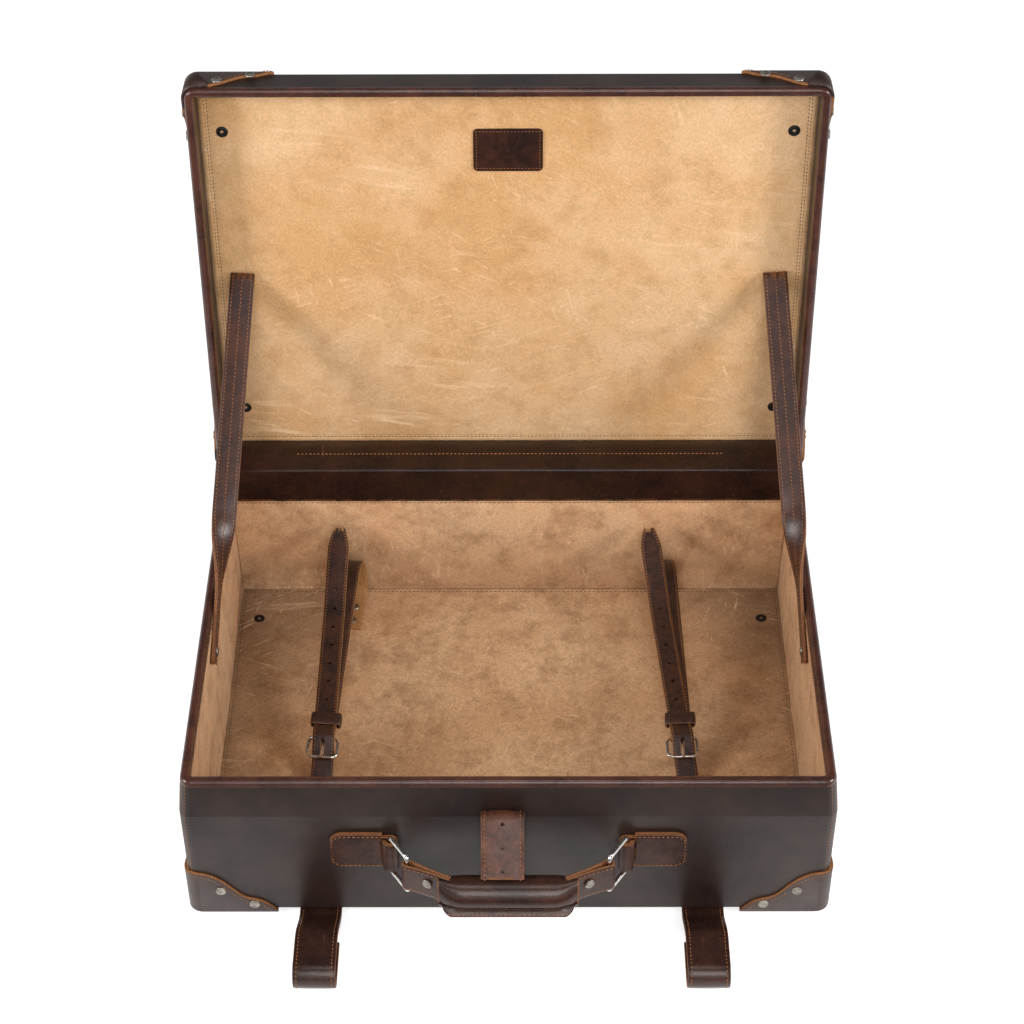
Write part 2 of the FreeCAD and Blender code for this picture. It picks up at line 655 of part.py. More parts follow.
def hole_strap():
    """Return a packing strap: flat on the floor, up through the buckle and on to its tip."""
    half = BUCKLE_LENGTH / 2
    under = -BUCKLE_WIRE - STRAP_CLEARANCE - PACK_THICKNESS
    loop = BUCKLE_WIRE + BAR_CLEARANCE + CHAPE_THICKNESS
    over = loop + STRAP_CLEARANCE
    rest = CHAPE_THICKNESS / 2 + STRAP_CLEARANCE
    bottom = FLOOR_Z + FLOOR_CLEARANCE
    lift_along = (STRAP_LIFT_Y - BUCKLE_Y) / math.cos(math.radians(PACK_TILT))
    points = (
        (STRAP_FRONT_Y, bottom),
        (STRAP_FLAT_END_Y, bottom),
        on_buckle(-0.6 * half, under),
        on_buckle(half - 2, over),
        on_buckle(half + 2, over),
        on_buckle(half + 11, rest),
        on_buckle(lift_along, rest),
        (STRAP_TIP_Y, FLOOR_Z + STRAP_TIP_LIFT),
    )
    body = strap(points, (40, 18, 5, 5, 14, 160), -PACK_THICKNESS, PACK_WIDTH)
    high = 2 * RIM_HEIGHT
    for side in (-1, 1):
        edge = side * PACK_WIDTH
        corner = [
            Vector(side * PACK_WIDTH / 2, STRAP_TIP_Y - STRAP_TIP_LENGTH, 0),
            Vector(side * STRAP_TIP_WIDTH / 2, STRAP_TIP_Y + PACK_THICKNESS, 0),
            Vector(edge, STRAP_TIP_Y + PACK_THICKNESS, 0),
            Vector(edge, STRAP_TIP_Y - STRAP_TIP_LENGTH, 0),
        ]
        body = body.cut(prism(corner, Vector(0, 0, high)))
    first = KEEPER_FROM_BUCKLE + STRAP_HOLE_PITCH
    for index in range(STRAP_HOLES):
        hole = Part.makeCylinder(STRAP_HOLE_RADIUS, 2 * half, Vector(0, first + index * STRAP_HOLE_PITCH, -half))
        body = body.cut(buckled(hole))
    return body


def chape():
    """Return the strap that holds a packing buckle, from its loop round the bar to the floor."""
    half = BUCKLE_LENGTH / 2
    inner = BUCKLE_WIRE + BAR_CLEARANCE
    back = CASE_DEPTH / 2 - FOOT_INSET - LINING_LEAN - INNER - CHAPE_WALL_GAP - CHAPE_THICKNESS
    top = FLOOR_Z + FLOOR_CLEARANCE + CHAPE_THICKNESS
    start = on_buckle(half + inner, -CHAPE_THICKNESS / 2)
    peak = (back, start[1] + (back - start[0]) * math.tan(math.radians(PACK_TILT)))
    leg = strap(
        (start, peak, (back, top), (CHAPE_END_Y, top)),
        (CHAPE_LOOP_RADIUS, CHAPE_FOOT_RADIUS),
        -CHAPE_THICKNESS,
        PACK_WIDTH,
    )
    axis = Vector(1, 0, 0)
    left = Vector(-PACK_WIDTH / 2, half, 0)
    loop = Part.makeCylinder(inner + CHAPE_THICKNESS, PACK_WIDTH, left, axis)
    bore = Part.makeCylinder(inner, PACK_WIDTH, left, axis)
    reach = inner + CHAPE_THICKNESS + 1
    slot = box((-PRONG_SLOT / 2, half - reach, -reach), (PRONG_SLOT / 2, half + reach, reach))
    return leg.fuse(buckled(loop)).cut(buckled(bore)).cut(buckled(slot)).removeSplitter()


def buckle_frame():
    """Return a packing buckle's wire frame."""
    return buckled(wire_frame(BUCKLE_WIDTH, BUCKLE_LENGTH, BUCKLE_CORNER, BUCKLE_WIRE))


def prong_slot():
    """Return the space that a prong needs to pass through the strap and to lift."""
    half = BUCKLE_LENGTH / 2
    return buckled(box((-PRONG_SLOT / 2, -0.7 * half, -half), (PRONG_SLOT / 2, 0.65 * half, half)))


def prong():
    """Return a buckle's prong: a bush on the bar and a pin that rests on the frame's front."""
    half = BUCKLE_LENGTH / 2
    start = Vector(-PRONG_WIDTH / 2, half, 0)
    axis = Vector(1, 0, 0)
    bush = Part.makeCylinder(PRONG_BUSH, PRONG_WIDTH, start, axis)
    bore = Part.makeCylinder(BUCKLE_WIRE + BAR_CLEARANCE, PRONG_WIDTH, start, axis)
    rest = BUCKLE_WIRE + PRONG_RADIUS + BAR_CLEARANCE
    tip = Vector(0, -half, rest)
    reach = tip - Vector(0, half, 0)
    pin = Part.makeCone(PRONG_RADIUS, PRONG_RADIUS * 0.8, reach.Length + BUCKLE_WIRE)
    pin = stand(pin, Vector(0, half, 0), reach)
    return buckled(bush.fuse(pin).cut(bore))


def keeper():
    """Return the leather keeper that slides on a packing strap and its chape."""
    low = -CHAPE_THICKNESS / 2 - STRAP_CLEARANCE
    high = CHAPE_THICKNESS / 2 + 2 * STRAP_CLEARANCE + PACK_THICKNESS
    half_width = PACK_WIDTH / 2 + KEEPER_SIDE_PLAY
    start = KEEPER_FROM_BUCKLE - KEEPER_LENGTH / 2
    end = KEEPER_FROM_BUCKLE + KEEPER_LENGTH / 2
    outer = box(
        (-half_width - KEEPER_WALL, start, low - KEEPER_WALL),
        (half_width + KEEPER_WALL, end, high + KEEPER_WALL),
    )
    outer = outer.makeFillet(KEEPER_WALL, [e for e in outer.Edges if e.BoundBox.YLength > KEEPER_LENGTH / 2])
    inner = box((-half_width, start - 1, low), (half_width, end + 1, high))
    return buckled(outer.cut(inner))


def packing_straps():
    """Return both packing straps with their chapes, buckles, prongs, keepers and rivets."""
    nodes = {}
    rivets = []
    pieces = {
        "packing_strap": (hole_strap(), "strap_skew"),
        "packing_chape": (chape(), "chape_skew"),
        "packing_buckle": (buckle_frame(), "chape_skew"),
        "packing_prong": (prong(), "chape_skew"),
        "packing_keeper": (keeper(), "chape_skew"),
    }
    up = Vector(0, 0, 1)
    bottom = FLOOR_Z + FLOOR_CLEARANCE
    pivot = Vector(0, BUCKLE_Y + STRAP_CROSSING, 0)
    for side, places in PACK_SIDES.items():
        shift = Vector(places["side"] * (CASE_WIDTH / 2 - places["from_side"]), 0, 0)
        for name, (shape, skew) in pieces.items():
            turned = shape.rotated(pivot, up, places[skew])
            nodes[name + "_" + side] = turned.translated(shift)
        slot = prong_slot().rotated(pivot, up, places["chape_skew"]).translated(shift)
        nodes["packing_strap_" + side] = nodes["packing_strap_" + side].cut(slot)
        for index in (0, 1):
            step = PACK_RIVET_FROM_END + index * PACK_RIVET_SPACING
            ends = (
                (Vector(0, STRAP_FRONT_Y + step, bottom + PACK_THICKNESS), "strap_skew"),
                (Vector(0, CHAPE_END_Y + step, bottom + CHAPE_THICKNESS), "chape_skew"),
            )
            for place, skew in ends:
                head = dome(RIVET_RADIUS, RIVET_HEIGHT, place, up)
                rivets.append(head.rotated(pivot, up, places[skew]).translated(shift))
    nodes["packing_rivets"] = Part.makeCompound(rivets)
    return nodes


def stay_sections():
    """Return the right-hand stay's rectangles, from the side wall up to the open lid."""
    wall = CASE_WIDTH / 2 - INNER - STAY_CLEARANCE - STAY_THICKNESS / 2
    low = Vector(wall - case_inset(STAY_BODY_Z) - STAY_CLEARANCE, STAY_BODY_Y, STAY_BODY_Z)
    rim = Vector(wall - RIM_INSET, STAY_RIM_Y, RIM_HEIGHT)
    lid_y = HINGE_Y - STAY_FROM_HINGE
    hole = Part.Vertex(STAY_LID_X, lid_y, panel_z(lid_y, LID_PANEL + LID_LINING) - STAY_LID_GAP)
    high = opened(hole).Point
    along = (high - rim).normalize()
    stops = [(low, 0.0), (rim, 0.0)]
    for step in range(1, STAY_TWIST_STEPS + 1):
        part = step / STAY_TWIST_STEPS
        stops.append((rim + (high - rim) * part, 90.0 * part))
    sections = []
    for place, twist in stops:
        flat = Vector(1, 0, 0)
        flat = (flat - along * flat.dot(along)).normalize()
        turn = FreeCAD.Rotation(along, twist)
        normal = turn.multVec(flat)
        wide = along.cross(normal).normalize()
        corners = []
        for a, b in ((-1, -1), (1, -1), (1, 1), (-1, 1)):
            corners.append(place + wide * (a * STAY_WIDTH / 2) + normal * (b * STAY_THICKNESS / 2))
        sections.append(Part.makePolygon(corners + [corners[0]]))
    return sections, low, rim


def lid_stays():
    """Return both lid stays, each twisted a quarter turn, and the rivets at their lower ends."""
    sections, low, rim = stay_sections()
    stay = Part.makeLoft(sections, True, True)
    place = low + (rim - low).normalize() * (STAY_WIDTH / 2)
    normal = Vector(-1, 0, 0)
    lean = (rim.x - low.x) / (rim - low).Length
    out = STAY_THICKNESS / 2 + RIVET_RADIUS * abs(lean) * 1.5
    head = dome(RIVET_RADIUS, RIVET_HEIGHT, place + normal * out, normal)
    return {
        "lid_stay_right": stay,
        "lid_stay_left": mirrored(stay),
        "stay_rivets": Part.makeCompound([head, mirrored(head)]),
    }


def front_face_y(z):
    """Return the Y of the case's outer front face at height z."""
    return -CASE_DEPTH / 2 + case_inset(z)


def grip_axis():
    """Return the Y and Z of the handle grip's axis."""
    return (front_face_y(TAB_HEIGHT) - FOLD_GAP - FOLD_RADIUS - GRIP_REACH, TAB_HEIGHT - GRIP_DROP)


def handle_mounts():
    """Return the right-hand tab on the front wall, its fold and the ring, drawn upright.

    They are drawn with the wall as the plane Y = 0 and the tab's middle at the origin's height.
    """
    half = TAB_WIDTH / 2
    near = FOLD_X + FOLD_RADIUS
    tab = box((near, -TAB_THICKNESS, -half), (near + TAB_LENGTH, 0, half))
    far_edges = []
    for edge in tab.Edges:
        bounds = edge.BoundBox
        if bounds.YLength > TAB_THICKNESS / 2 and bounds.XMin > near + TAB_LENGTH / 2:
            far_edges.append(edge)
    tab = tab.makeFillet(TAB_CORNER, far_edges)
    axis_y = -FOLD_GAP - FOLD_RADIUS
    up = Vector(0, 0, 1)
    foot = Vector(FOLD_X, axis_y, -FOLD_WIDTH / 2)
    fold = Part.makeCylinder(FOLD_RADIUS, FOLD_WIDTH, foot, up)
    web = box((FOLD_X, -FOLD_GAP - TAB_THICKNESS, -FOLD_WIDTH / 2), (near, -FOLD_GAP, FOLD_WIDTH / 2))
    bore = Part.makeCylinder(RING_WIRE + RING_CLEARANCE, FOLD_WIDTH, foot, up)
    fold = fold.fuse(web).cut(bore).removeSplitter()
    height = FOLD_WIDTH + 2 * (RING_CORNER + RING_CLEARANCE)
    ring = wire_frame(RING_LENGTH, height, RING_CORNER, RING_WIRE)
    ring = ring.rotated(Vector(0, 0, 0), Vector(1, 0, 0), 90)
    ring = ring.translated(Vector(-RING_LENGTH / 2, 0, 0))
    ring = ring.rotated(Vector(0, 0, 0), up, RING_SWING)
    ring = ring.translated(Vector(FOLD_X, axis_y, 0))
    swing = math.radians(RING_SWING)
    bar = Vector(FOLD_X - RING_LENGTH * math.cos(swing), axis_y - RING_LENGTH * math.sin(swing), 0)
    return {"handle_tab": tab, "handle_tab_fold": fold, "handle_ring": ring}, bar


def handle_end(bar):
    """Return the right-hand end strap from the ring's outer bar to the grip, and its rivet."""
    grip_end = Vector(GRIP_LENGTH / 2, -FOLD_GAP - FOLD_RADIUS - GRIP_REACH, 0)
    along = (grip_end - bar).normalize()
    across = Vector(-along.y, along.x, 0)
    bore_radius = RING_WIRE + RING_CLEARANCE
    low = Vector(0, 0, -HANDLE_END_WIDTH / 2)
    up = Vector(0, 0, HANDLE_END_WIDTH)
    far = grip_end + along * (2 * HANDLE_LEATHER)
    points = []
    for end, side in ((bar, 1), (far, 1), (far, -1), (bar, -1)):
        points.append(end + across * (side * HANDLE_LEATHER) + low)
    plate = prism(points, up)
    cylinder = Part.makeCylinder(bore_radius + HANDLE_LEATHER, HANDLE_END_WIDTH, bar + low, Vector(0, 0, 1))
    bore = Part.makeCylinder(bore_radius, HANDLE_END_WIDTH, bar + low, Vector(0, 0, 1))
    beyond = box((-GRIP_LENGTH, -CASE_DEPTH, -CASE_DEPTH), (grip_end.x, CASE_DEPTH, CASE_DEPTH))
    piece = plate.fuse(cylinder).cut(bore).cut(beyond).removeSplitter()
    face = across if across.y < 0 else across * -1
    middle = bar + (grip_end - bar) * 0.58
    rivet = dome(RIVET_RADIUS, RIVET_HEIGHT, middle + face * HANDLE_LEATHER, face)
    return piece, rivet


def grip():
    """Return the grip's leather cover with its stitched flange, and the core inside it."""
    sections = []
    stations = ((0.5, 0.0), (0.47, 0.34), (0.43, 0.62), (0.38, 0.84), (0.32, 0.96), (0.24, 1.0), (0.0, 1.0))
    stations = stations + tuple((-a, b) for a, b in reversed(stations[:-1]))
    for share, fullness in stations:
        thick = GRIP_END_THICKNESS / 2 + (GRIP_RADIUS - GRIP_END_THICKNESS / 2) * fullness
        tall = GRIP_END_WIDTH / 2 + (GRIP_RADIUS - GRIP_END_WIDTH / 2) * fullness
        sections.append(ellipse(Vector(share * GRIP_LENGTH, 0, 0), thick, tall))
    cover = Part.makeLoft(sections, True, True)
    flange = box(
        (-FLANGE_LENGTH / 2, -FLANGE_THICKNESS / 2, -GRIP_RADIUS - FLANGE_WIDTH),
        (FLANGE_LENGTH / 2, FLANGE_THICKNESS / 2, -GRIP_CORE_RADIUS - HANDLE_LEATHER / 2),
    )
    flange = flange.rotated(Vector(0, 0, 0), Vector(1, 0, 0), -FLANGE_ANGLE)
    start = Vector(-GRIP_CORE_LENGTH / 2, 0, 0)
    axis = Vector(1, 0, 0)
    core = Part.makeCylinder(GRIP_CORE_RADIUS, GRIP_CORE_LENGTH, start, axis)
    play = GRIP_CORE_CLEARANCE
    hollow_length = GRIP_CORE_LENGTH + 2 * play
    hollow = Part.makeCylinder(GRIP_CORE_RADIUS + play, hollow_length, start - axis * play, axis)
    cover = cover.fuse(flange).cut(hollow)
    return cover, core


def ellipse(centre, thick, tall):
    """Return an upright elliptical wire across the X direction."""
    across = Vector(0, 1, 0)
    up = Vector(0, 0, 1)
    major, minor = (thick, tall) if thick >= tall else (tall, thick)
    first = across if thick >= tall else up
    second = up if thick >= tall else across
    if major - minor < 1e-6:
        return Part.Wire(Part.makeCircle(major, centre, Vector(1, 0, 0)))
    curve = Part.Ellipse(centre + first * major, centre + second * minor, centre)
    return Part.Wire(curve.toShape())


def handle():
    """Return the handle: tabs, folds and rings on the wall, end straps, rivets and the grip."""
    mounts, bar = handle_mounts()
    end, rivet = handle_end(bar)
    cover, core = grip()
    wall = Vector(0, front_face_y(TAB_HEIGHT), TAB_HEIGHT)
    lean = math.degrees(math.atan2(FOOT_INSET, CREASE_HEIGHT - BASE_Z))
    nodes = {}
    mounts["handle_end"] = end
    for name, shape in mounts.items():
        placed = shape.rotated(Vector(0, 0, 0), Vector(1, 0, 0), lean).translated(wall)
        nodes[name + "_right"] = placed
        nodes[name + "_left"] = mirrored(placed)
    rivet = rivet.rotated(Vector(0, 0, 0), Vector(1, 0, 0), lean).translated(wall)
    nodes["handle_rivets"] = Part.makeCompound([rivet, mirrored(rivet)])
    grip_y, grip_z = grip_axis()
    nodes["handle_cover"] = cover.translated(Vector(0, grip_y, grip_z))
    nodes["handle_core"] = core.translated(Vector(0, grip_y, grip_z))
    return nodes


def main():
    """Build every piece and write each to its own STEP file."""
    os.makedirs("parts", exist_ok=True)
    nodes = {}
    for group in (case_body, body_caps, lid, belts, packing_straps, lid_stays, handle):
        nodes.update(group())
    nodes["base_studs"] = base_studs()
    for name, shape in nodes.items():
        print(name, len(shape.Solids), round(shape.Volume, 1), shape.isValid())
        shape.exportStep("parts/" + name + ".step")


main()
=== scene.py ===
"""Looks of a leather suitcase that stands open: hides, suede, straps, stitching and studio.

Lengths in the classes are millimetres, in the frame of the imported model: X along the width,
-Y the front with the handle, +Z up, the origin on the ground under the middle of the case.
"""
import json
import logging
import math
from dataclasses import dataclass, field
from enum import Enum
from typing import Any, Callable, Dict, Iterable, List, Optional, Sequence, Tuple, Union

import bmesh
import bpy
from mathutils import Matrix, Vector, noise
from mathutils.bvhtree import BVHTree
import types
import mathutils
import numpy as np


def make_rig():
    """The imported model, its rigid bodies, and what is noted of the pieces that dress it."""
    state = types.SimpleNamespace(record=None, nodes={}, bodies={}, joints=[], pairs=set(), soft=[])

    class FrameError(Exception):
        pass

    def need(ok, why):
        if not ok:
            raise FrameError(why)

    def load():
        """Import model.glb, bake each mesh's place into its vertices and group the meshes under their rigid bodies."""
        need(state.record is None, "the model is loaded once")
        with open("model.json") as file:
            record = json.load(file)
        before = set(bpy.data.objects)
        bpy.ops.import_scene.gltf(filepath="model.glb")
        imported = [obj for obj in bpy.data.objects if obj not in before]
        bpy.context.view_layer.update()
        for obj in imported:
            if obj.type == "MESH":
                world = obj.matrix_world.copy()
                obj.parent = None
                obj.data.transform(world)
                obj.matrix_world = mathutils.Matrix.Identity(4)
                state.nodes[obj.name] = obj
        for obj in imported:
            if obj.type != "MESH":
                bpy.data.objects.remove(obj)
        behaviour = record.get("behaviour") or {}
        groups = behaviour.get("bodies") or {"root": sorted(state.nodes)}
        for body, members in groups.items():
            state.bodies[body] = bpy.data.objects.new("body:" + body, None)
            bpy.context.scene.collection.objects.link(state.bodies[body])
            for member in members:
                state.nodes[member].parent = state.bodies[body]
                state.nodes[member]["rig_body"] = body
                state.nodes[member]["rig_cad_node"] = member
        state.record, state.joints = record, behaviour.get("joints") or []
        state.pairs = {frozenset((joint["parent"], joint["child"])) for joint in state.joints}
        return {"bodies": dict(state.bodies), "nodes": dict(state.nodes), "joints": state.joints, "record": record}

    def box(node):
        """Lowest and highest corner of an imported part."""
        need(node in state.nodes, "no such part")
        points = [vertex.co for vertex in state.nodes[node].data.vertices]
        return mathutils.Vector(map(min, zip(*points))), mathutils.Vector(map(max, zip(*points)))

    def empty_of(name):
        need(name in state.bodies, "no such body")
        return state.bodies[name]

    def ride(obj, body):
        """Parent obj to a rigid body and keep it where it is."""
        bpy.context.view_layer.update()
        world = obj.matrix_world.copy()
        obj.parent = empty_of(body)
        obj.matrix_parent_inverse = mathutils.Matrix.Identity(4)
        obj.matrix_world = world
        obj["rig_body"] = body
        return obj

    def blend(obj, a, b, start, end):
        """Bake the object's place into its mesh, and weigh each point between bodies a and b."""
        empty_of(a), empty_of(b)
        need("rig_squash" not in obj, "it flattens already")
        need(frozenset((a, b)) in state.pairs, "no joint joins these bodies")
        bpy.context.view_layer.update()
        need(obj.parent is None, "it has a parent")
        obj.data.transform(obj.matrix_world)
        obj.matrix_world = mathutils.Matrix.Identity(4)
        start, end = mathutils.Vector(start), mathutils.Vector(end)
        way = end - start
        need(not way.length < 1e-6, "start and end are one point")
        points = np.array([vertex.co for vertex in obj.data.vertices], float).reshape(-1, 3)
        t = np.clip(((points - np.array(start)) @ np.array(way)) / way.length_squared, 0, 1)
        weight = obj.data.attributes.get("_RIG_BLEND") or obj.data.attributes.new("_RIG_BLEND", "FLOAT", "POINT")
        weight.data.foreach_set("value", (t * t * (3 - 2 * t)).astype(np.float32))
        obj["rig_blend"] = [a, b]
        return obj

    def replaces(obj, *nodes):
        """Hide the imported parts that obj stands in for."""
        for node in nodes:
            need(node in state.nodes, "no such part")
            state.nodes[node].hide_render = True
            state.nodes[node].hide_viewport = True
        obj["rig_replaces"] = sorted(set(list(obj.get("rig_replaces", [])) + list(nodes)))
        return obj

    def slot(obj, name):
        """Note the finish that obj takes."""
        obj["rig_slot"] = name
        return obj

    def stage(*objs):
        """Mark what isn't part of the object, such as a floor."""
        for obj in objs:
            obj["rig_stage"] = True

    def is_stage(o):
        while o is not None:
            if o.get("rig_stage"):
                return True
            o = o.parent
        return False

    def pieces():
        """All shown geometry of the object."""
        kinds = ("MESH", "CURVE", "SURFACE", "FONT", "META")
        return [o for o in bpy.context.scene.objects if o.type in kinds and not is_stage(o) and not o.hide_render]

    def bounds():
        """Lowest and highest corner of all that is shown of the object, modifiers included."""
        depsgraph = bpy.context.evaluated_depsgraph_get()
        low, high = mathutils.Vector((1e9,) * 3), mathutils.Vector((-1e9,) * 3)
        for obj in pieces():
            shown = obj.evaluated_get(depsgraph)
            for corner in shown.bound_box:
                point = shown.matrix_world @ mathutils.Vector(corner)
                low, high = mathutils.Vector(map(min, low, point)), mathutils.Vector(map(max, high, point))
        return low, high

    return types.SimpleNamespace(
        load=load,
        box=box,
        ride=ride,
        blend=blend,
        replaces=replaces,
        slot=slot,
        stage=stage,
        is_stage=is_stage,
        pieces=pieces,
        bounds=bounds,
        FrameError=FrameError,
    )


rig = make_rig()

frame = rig.load()
CAD_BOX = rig.bounds()

MM = 0.001
DRAPE_REACH = 0.5
PARALLEL = 0.99
ARC_STEP = 9.0
ROUND_CUT = 0.29
NOISE_SPREAD = (0.3, 0.7)
LOG = logging.getLogger("suitcase")
Flat = Tuple[float, float]
Space = Tuple[float, float, float]
Four = Tuple[float, float, float, float]
ToWorld = Callable[[float, float, float], Vector]
Object = bpy.types.Object
Material = bpy.types.Material
Tree = bpy.types.NodeTree
Socket = bpy.types.NodeSocket
BMesh = bmesh.types.BMesh
BMVert = bmesh.types.BMVert
Value = Union[float, Socket]
Colour = Union[str, Tuple[float, ...], Socket]


def linear(code: str) -> Four:
    """Turn an sRGB hex colour into linear values.

    Args:
        code: the colour, such as "#a0642f".

    Returns:
        Red, green, blue and an alpha of 1.
    """
    parts = [int(code[i:i + 2], 16) / 255 for i in (1, 3, 5)]
    red, green, blue = [c / 12.92 if c <= 0.04045 else ((c + 0.055) / 1.055) ** 2.4 for c in parts]
    return red, green, blue, 1.0


def per_metre(size_mm: float) -> float:
    """Return a texture's scale for a pattern whose features are size_mm wide."""
    return 1000.0 / size_mm


def add(tree: Tree, kind: str, inputs: Optional[Dict[Any, Any]] = None, **settings: Any) -> bpy.types.Node:
    """Add a node to a tree, with its settings, its values and its links.

    Args:
        tree: the node tree.
        kind: the node's type name.
        inputs: a value or an output socket for each input, by name or by number.
        settings: properties of the node.

    Returns:
        The node.
    """
    node = tree.nodes.new(kind)
    for name, value in settings.items():
        setattr(node, name, value)
    for key, value in (inputs or {}).items():
        if isinstance(value, Socket):
            tree.links.new(value, node.inputs[key])
        else:
            node.inputs[key].default_value = value
    return node


class Graph:
    """A shader tree, with a short name for each node that the finishes need; all return sockets."""

    def __init__(self, tree: Tree) -> None:
        """Empty the tree and hold it."""
        self.tree = tree
        tree.nodes.clear()

    def place(self, space: str = "Object") -> Socket:
        """Return the texture coordinates of a space."""
        return add(self.tree, "ShaderNodeTexCoord").outputs[space]

    def noise(
        self, place: Socket, size_mm: float, detail: float, rough: float = 0.5, twist: float = 0.0
    ) -> Socket:
        """Return a noise whose features are size_mm wide."""
        values = {"Scale": per_metre(size_mm), "Detail": detail, "Roughness": rough, "Distortion": twist}
        return add(self.tree, "ShaderNodeTexNoise", {"Vector": place, **values}).outputs[0]

    def ramp(
        self, value: Socket, low: float, high: float, start: float = 0.0, end: float = 1.0, **settings: Any
    ) -> Socket:
        """Return start where the value is low, end where it is high, and what lies between."""
        limits = {"From Min": low, "From Max": high, "To Min": start, "To Max": end}
        return add(self.tree, "ShaderNodeMapRange", {"Value": value, **limits}, **settings).outputs[0]

    def mix(self, share: Socket, first: Colour, second: Colour) -> Socket:
        """Return a mix of two colours, each a hex code, linear values or a socket."""
        first, second = (linear(c) if isinstance(c, str) else c for c in (first, second))
        return add(self.tree, "ShaderNodeMix", {0: share, 6: first, 7: second}, data_type="RGBA").outputs[2]

    def math(self, operation: str, *values: Value) -> Socket:
        """Return the result of a sum on numbers."""
        return add(self.tree, "ShaderNodeMath", dict(enumerate(values)), operation=operation).outputs[0]

    def scale(self, colour: Any, by: Socket) -> Socket:
        """Return a colour times a number."""
        return add(self.tree, "ShaderNodeVectorMath", {0: colour, 3: by}, operation="SCALE").outputs[0]

    def bump(self, height: Socket, strength: float, distance_mm: float) -> Socket:
        """Return a normal with a relief."""
        values = {"Height": height, "Strength": strength, "Distance": distance_mm * MM}
        return add(self.tree, "ShaderNodeBump", values).outputs[0]


@dataclass(frozen=True)
class Finish:
    """A material that is built from nodes once and then shared."""

    name: str
    slot: str

    def material(self) -> Material:
        """Return the finish's material, made at its first use."""
        found = bpy.data.materials.get(self.name)
        if found:
            return found
        made = bpy.data.materials.new(self.name)
        made.use_nodes = True
        graph = Graph(made.node_tree)
        shader = add(graph.tree, "ShaderNodeBsdfPrincipled", self.inputs(graph, graph.place()))
        add(graph.tree, "ShaderNodeOutputMaterial", {"Surface": shader.outputs["BSDF"]})
        return made

    def inputs(self, graph: Graph, place: Socket) -> Dict[str, Value]:
        """Return what goes into the shader's inputs, a value or a socket by the input's name."""
        raise NotImplementedError


@dataclass(frozen=True)
class Hide(Finish):
    """Waxed full-grain cowhide, drum dyed and plated: satin, cloudy, paler where it is bent or rubbed.

    The attribute "cut" turns it to the raw fibre of a cut edge or of the flesh side.
    """

    deep: str = "#241814"
    light: str = "#3c261d"
    rubbed: str = "#6b4330"
    raw: str = "#8f5a33"
    rough: float = 0.42
    shine: float = 0.5
    grain_mm: float = 1.3
    cloud_mm: float = 55.0
    crease_mm: float = 16.0
    crease: float = 0.1
    scratch: float = 0.3
    scratch_mm: float = 2.2
    scratch_turn: Space = (0.3, 0.5, 0.7)
    scratch_scale: Space = (1.0, 0.06, 0.4)
    scratch_from: Flat = (0.69, 0.76)
    cloud_from: Flat = (0.36, 0.66)
    crease_width: float = 0.06
    gloss: Flat = (0.07, -0.05)
    raw_mm: float = 1.6
    raw_tones: Flat = (0.45, 1.1)
    raw_rough: float = 0.85
    pore_size: float = 0.45
    pore_depth: float = 0.5
    crease_depth: float = 2.5
    relief: float = 0.2
    relief_mm: float = 0.5

    def inputs(self, graph: Graph, place: Socket) -> Dict[str, Value]:
        """Wire clouds of dye, hair-cell grain, fine creases, light scratches and raw edges."""
        tree = graph.tree
        cloud = graph.noise(place, self.cloud_mm, detail=5.0, rough=0.6)
        dyed = graph.mix(graph.ramp(cloud, *self.cloud_from), self.deep, self.light)
        bent = graph.noise(place, self.crease_mm, detail=7.0, rough=0.62, twist=0.3)
        ridge = graph.math("ABSOLUTE", graph.math("SUBTRACT", bent, 0.5))
        line = graph.ramp(ridge, 0.0, self.crease_width, 1.0, 0.0)
        pulled = graph.mix(graph.math("MULTIPLY", line, self.crease), dyed, self.rubbed)
        turned = {"Vector": place, "Rotation": self.scratch_turn, "Scale": self.scratch_scale}
        slide = add(tree, "ShaderNodeMapping", turned).outputs[0]
        mark = graph.noise(slide, self.scratch_mm, detail=2.0)
        mark = graph.ramp(mark, *self.scratch_from, 0.0, self.scratch)
        scuffed = graph.mix(mark, pulled, self.rubbed)
        fibre = graph.noise(place, self.raw_mm, detail=4.0, rough=0.7)
        fibre = graph.ramp(fibre, *NOISE_SPREAD, *self.raw_tones)
        cut = add(tree, "ShaderNodeAttribute", attribute_name="cut").outputs["Fac"]
        gloss = graph.ramp(cloud, *NOISE_SPREAD, *(self.rough + more for more in self.gloss))
        grain = {"Vector": place, "Scale": per_metre(self.grain_mm)}
        cell = add(tree, "ShaderNodeTexVoronoi", grain, feature="SMOOTH_F1").outputs[0]
        pore = graph.noise(place, self.grain_mm * self.pore_size, detail=2.0)
        height = graph.math("MULTIPLY_ADD", pore, self.pore_depth, cell)
        height = graph.math("MULTIPLY_ADD", line, -self.crease_depth * self.crease, height)
        return {
            "Base Color": graph.mix(cut, scuffed, graph.scale(linear(self.raw)[:3], fibre)),
            "Roughness": add(tree, "ShaderNodeMix", {0: cut, 2: gloss, 3: self.raw_rough}).outputs[0],
            "Normal": graph.bump(height, self.relief, self.relief_mm),
            "IOR": 1.48,
            "Specular IOR Level": self.shine,
        }


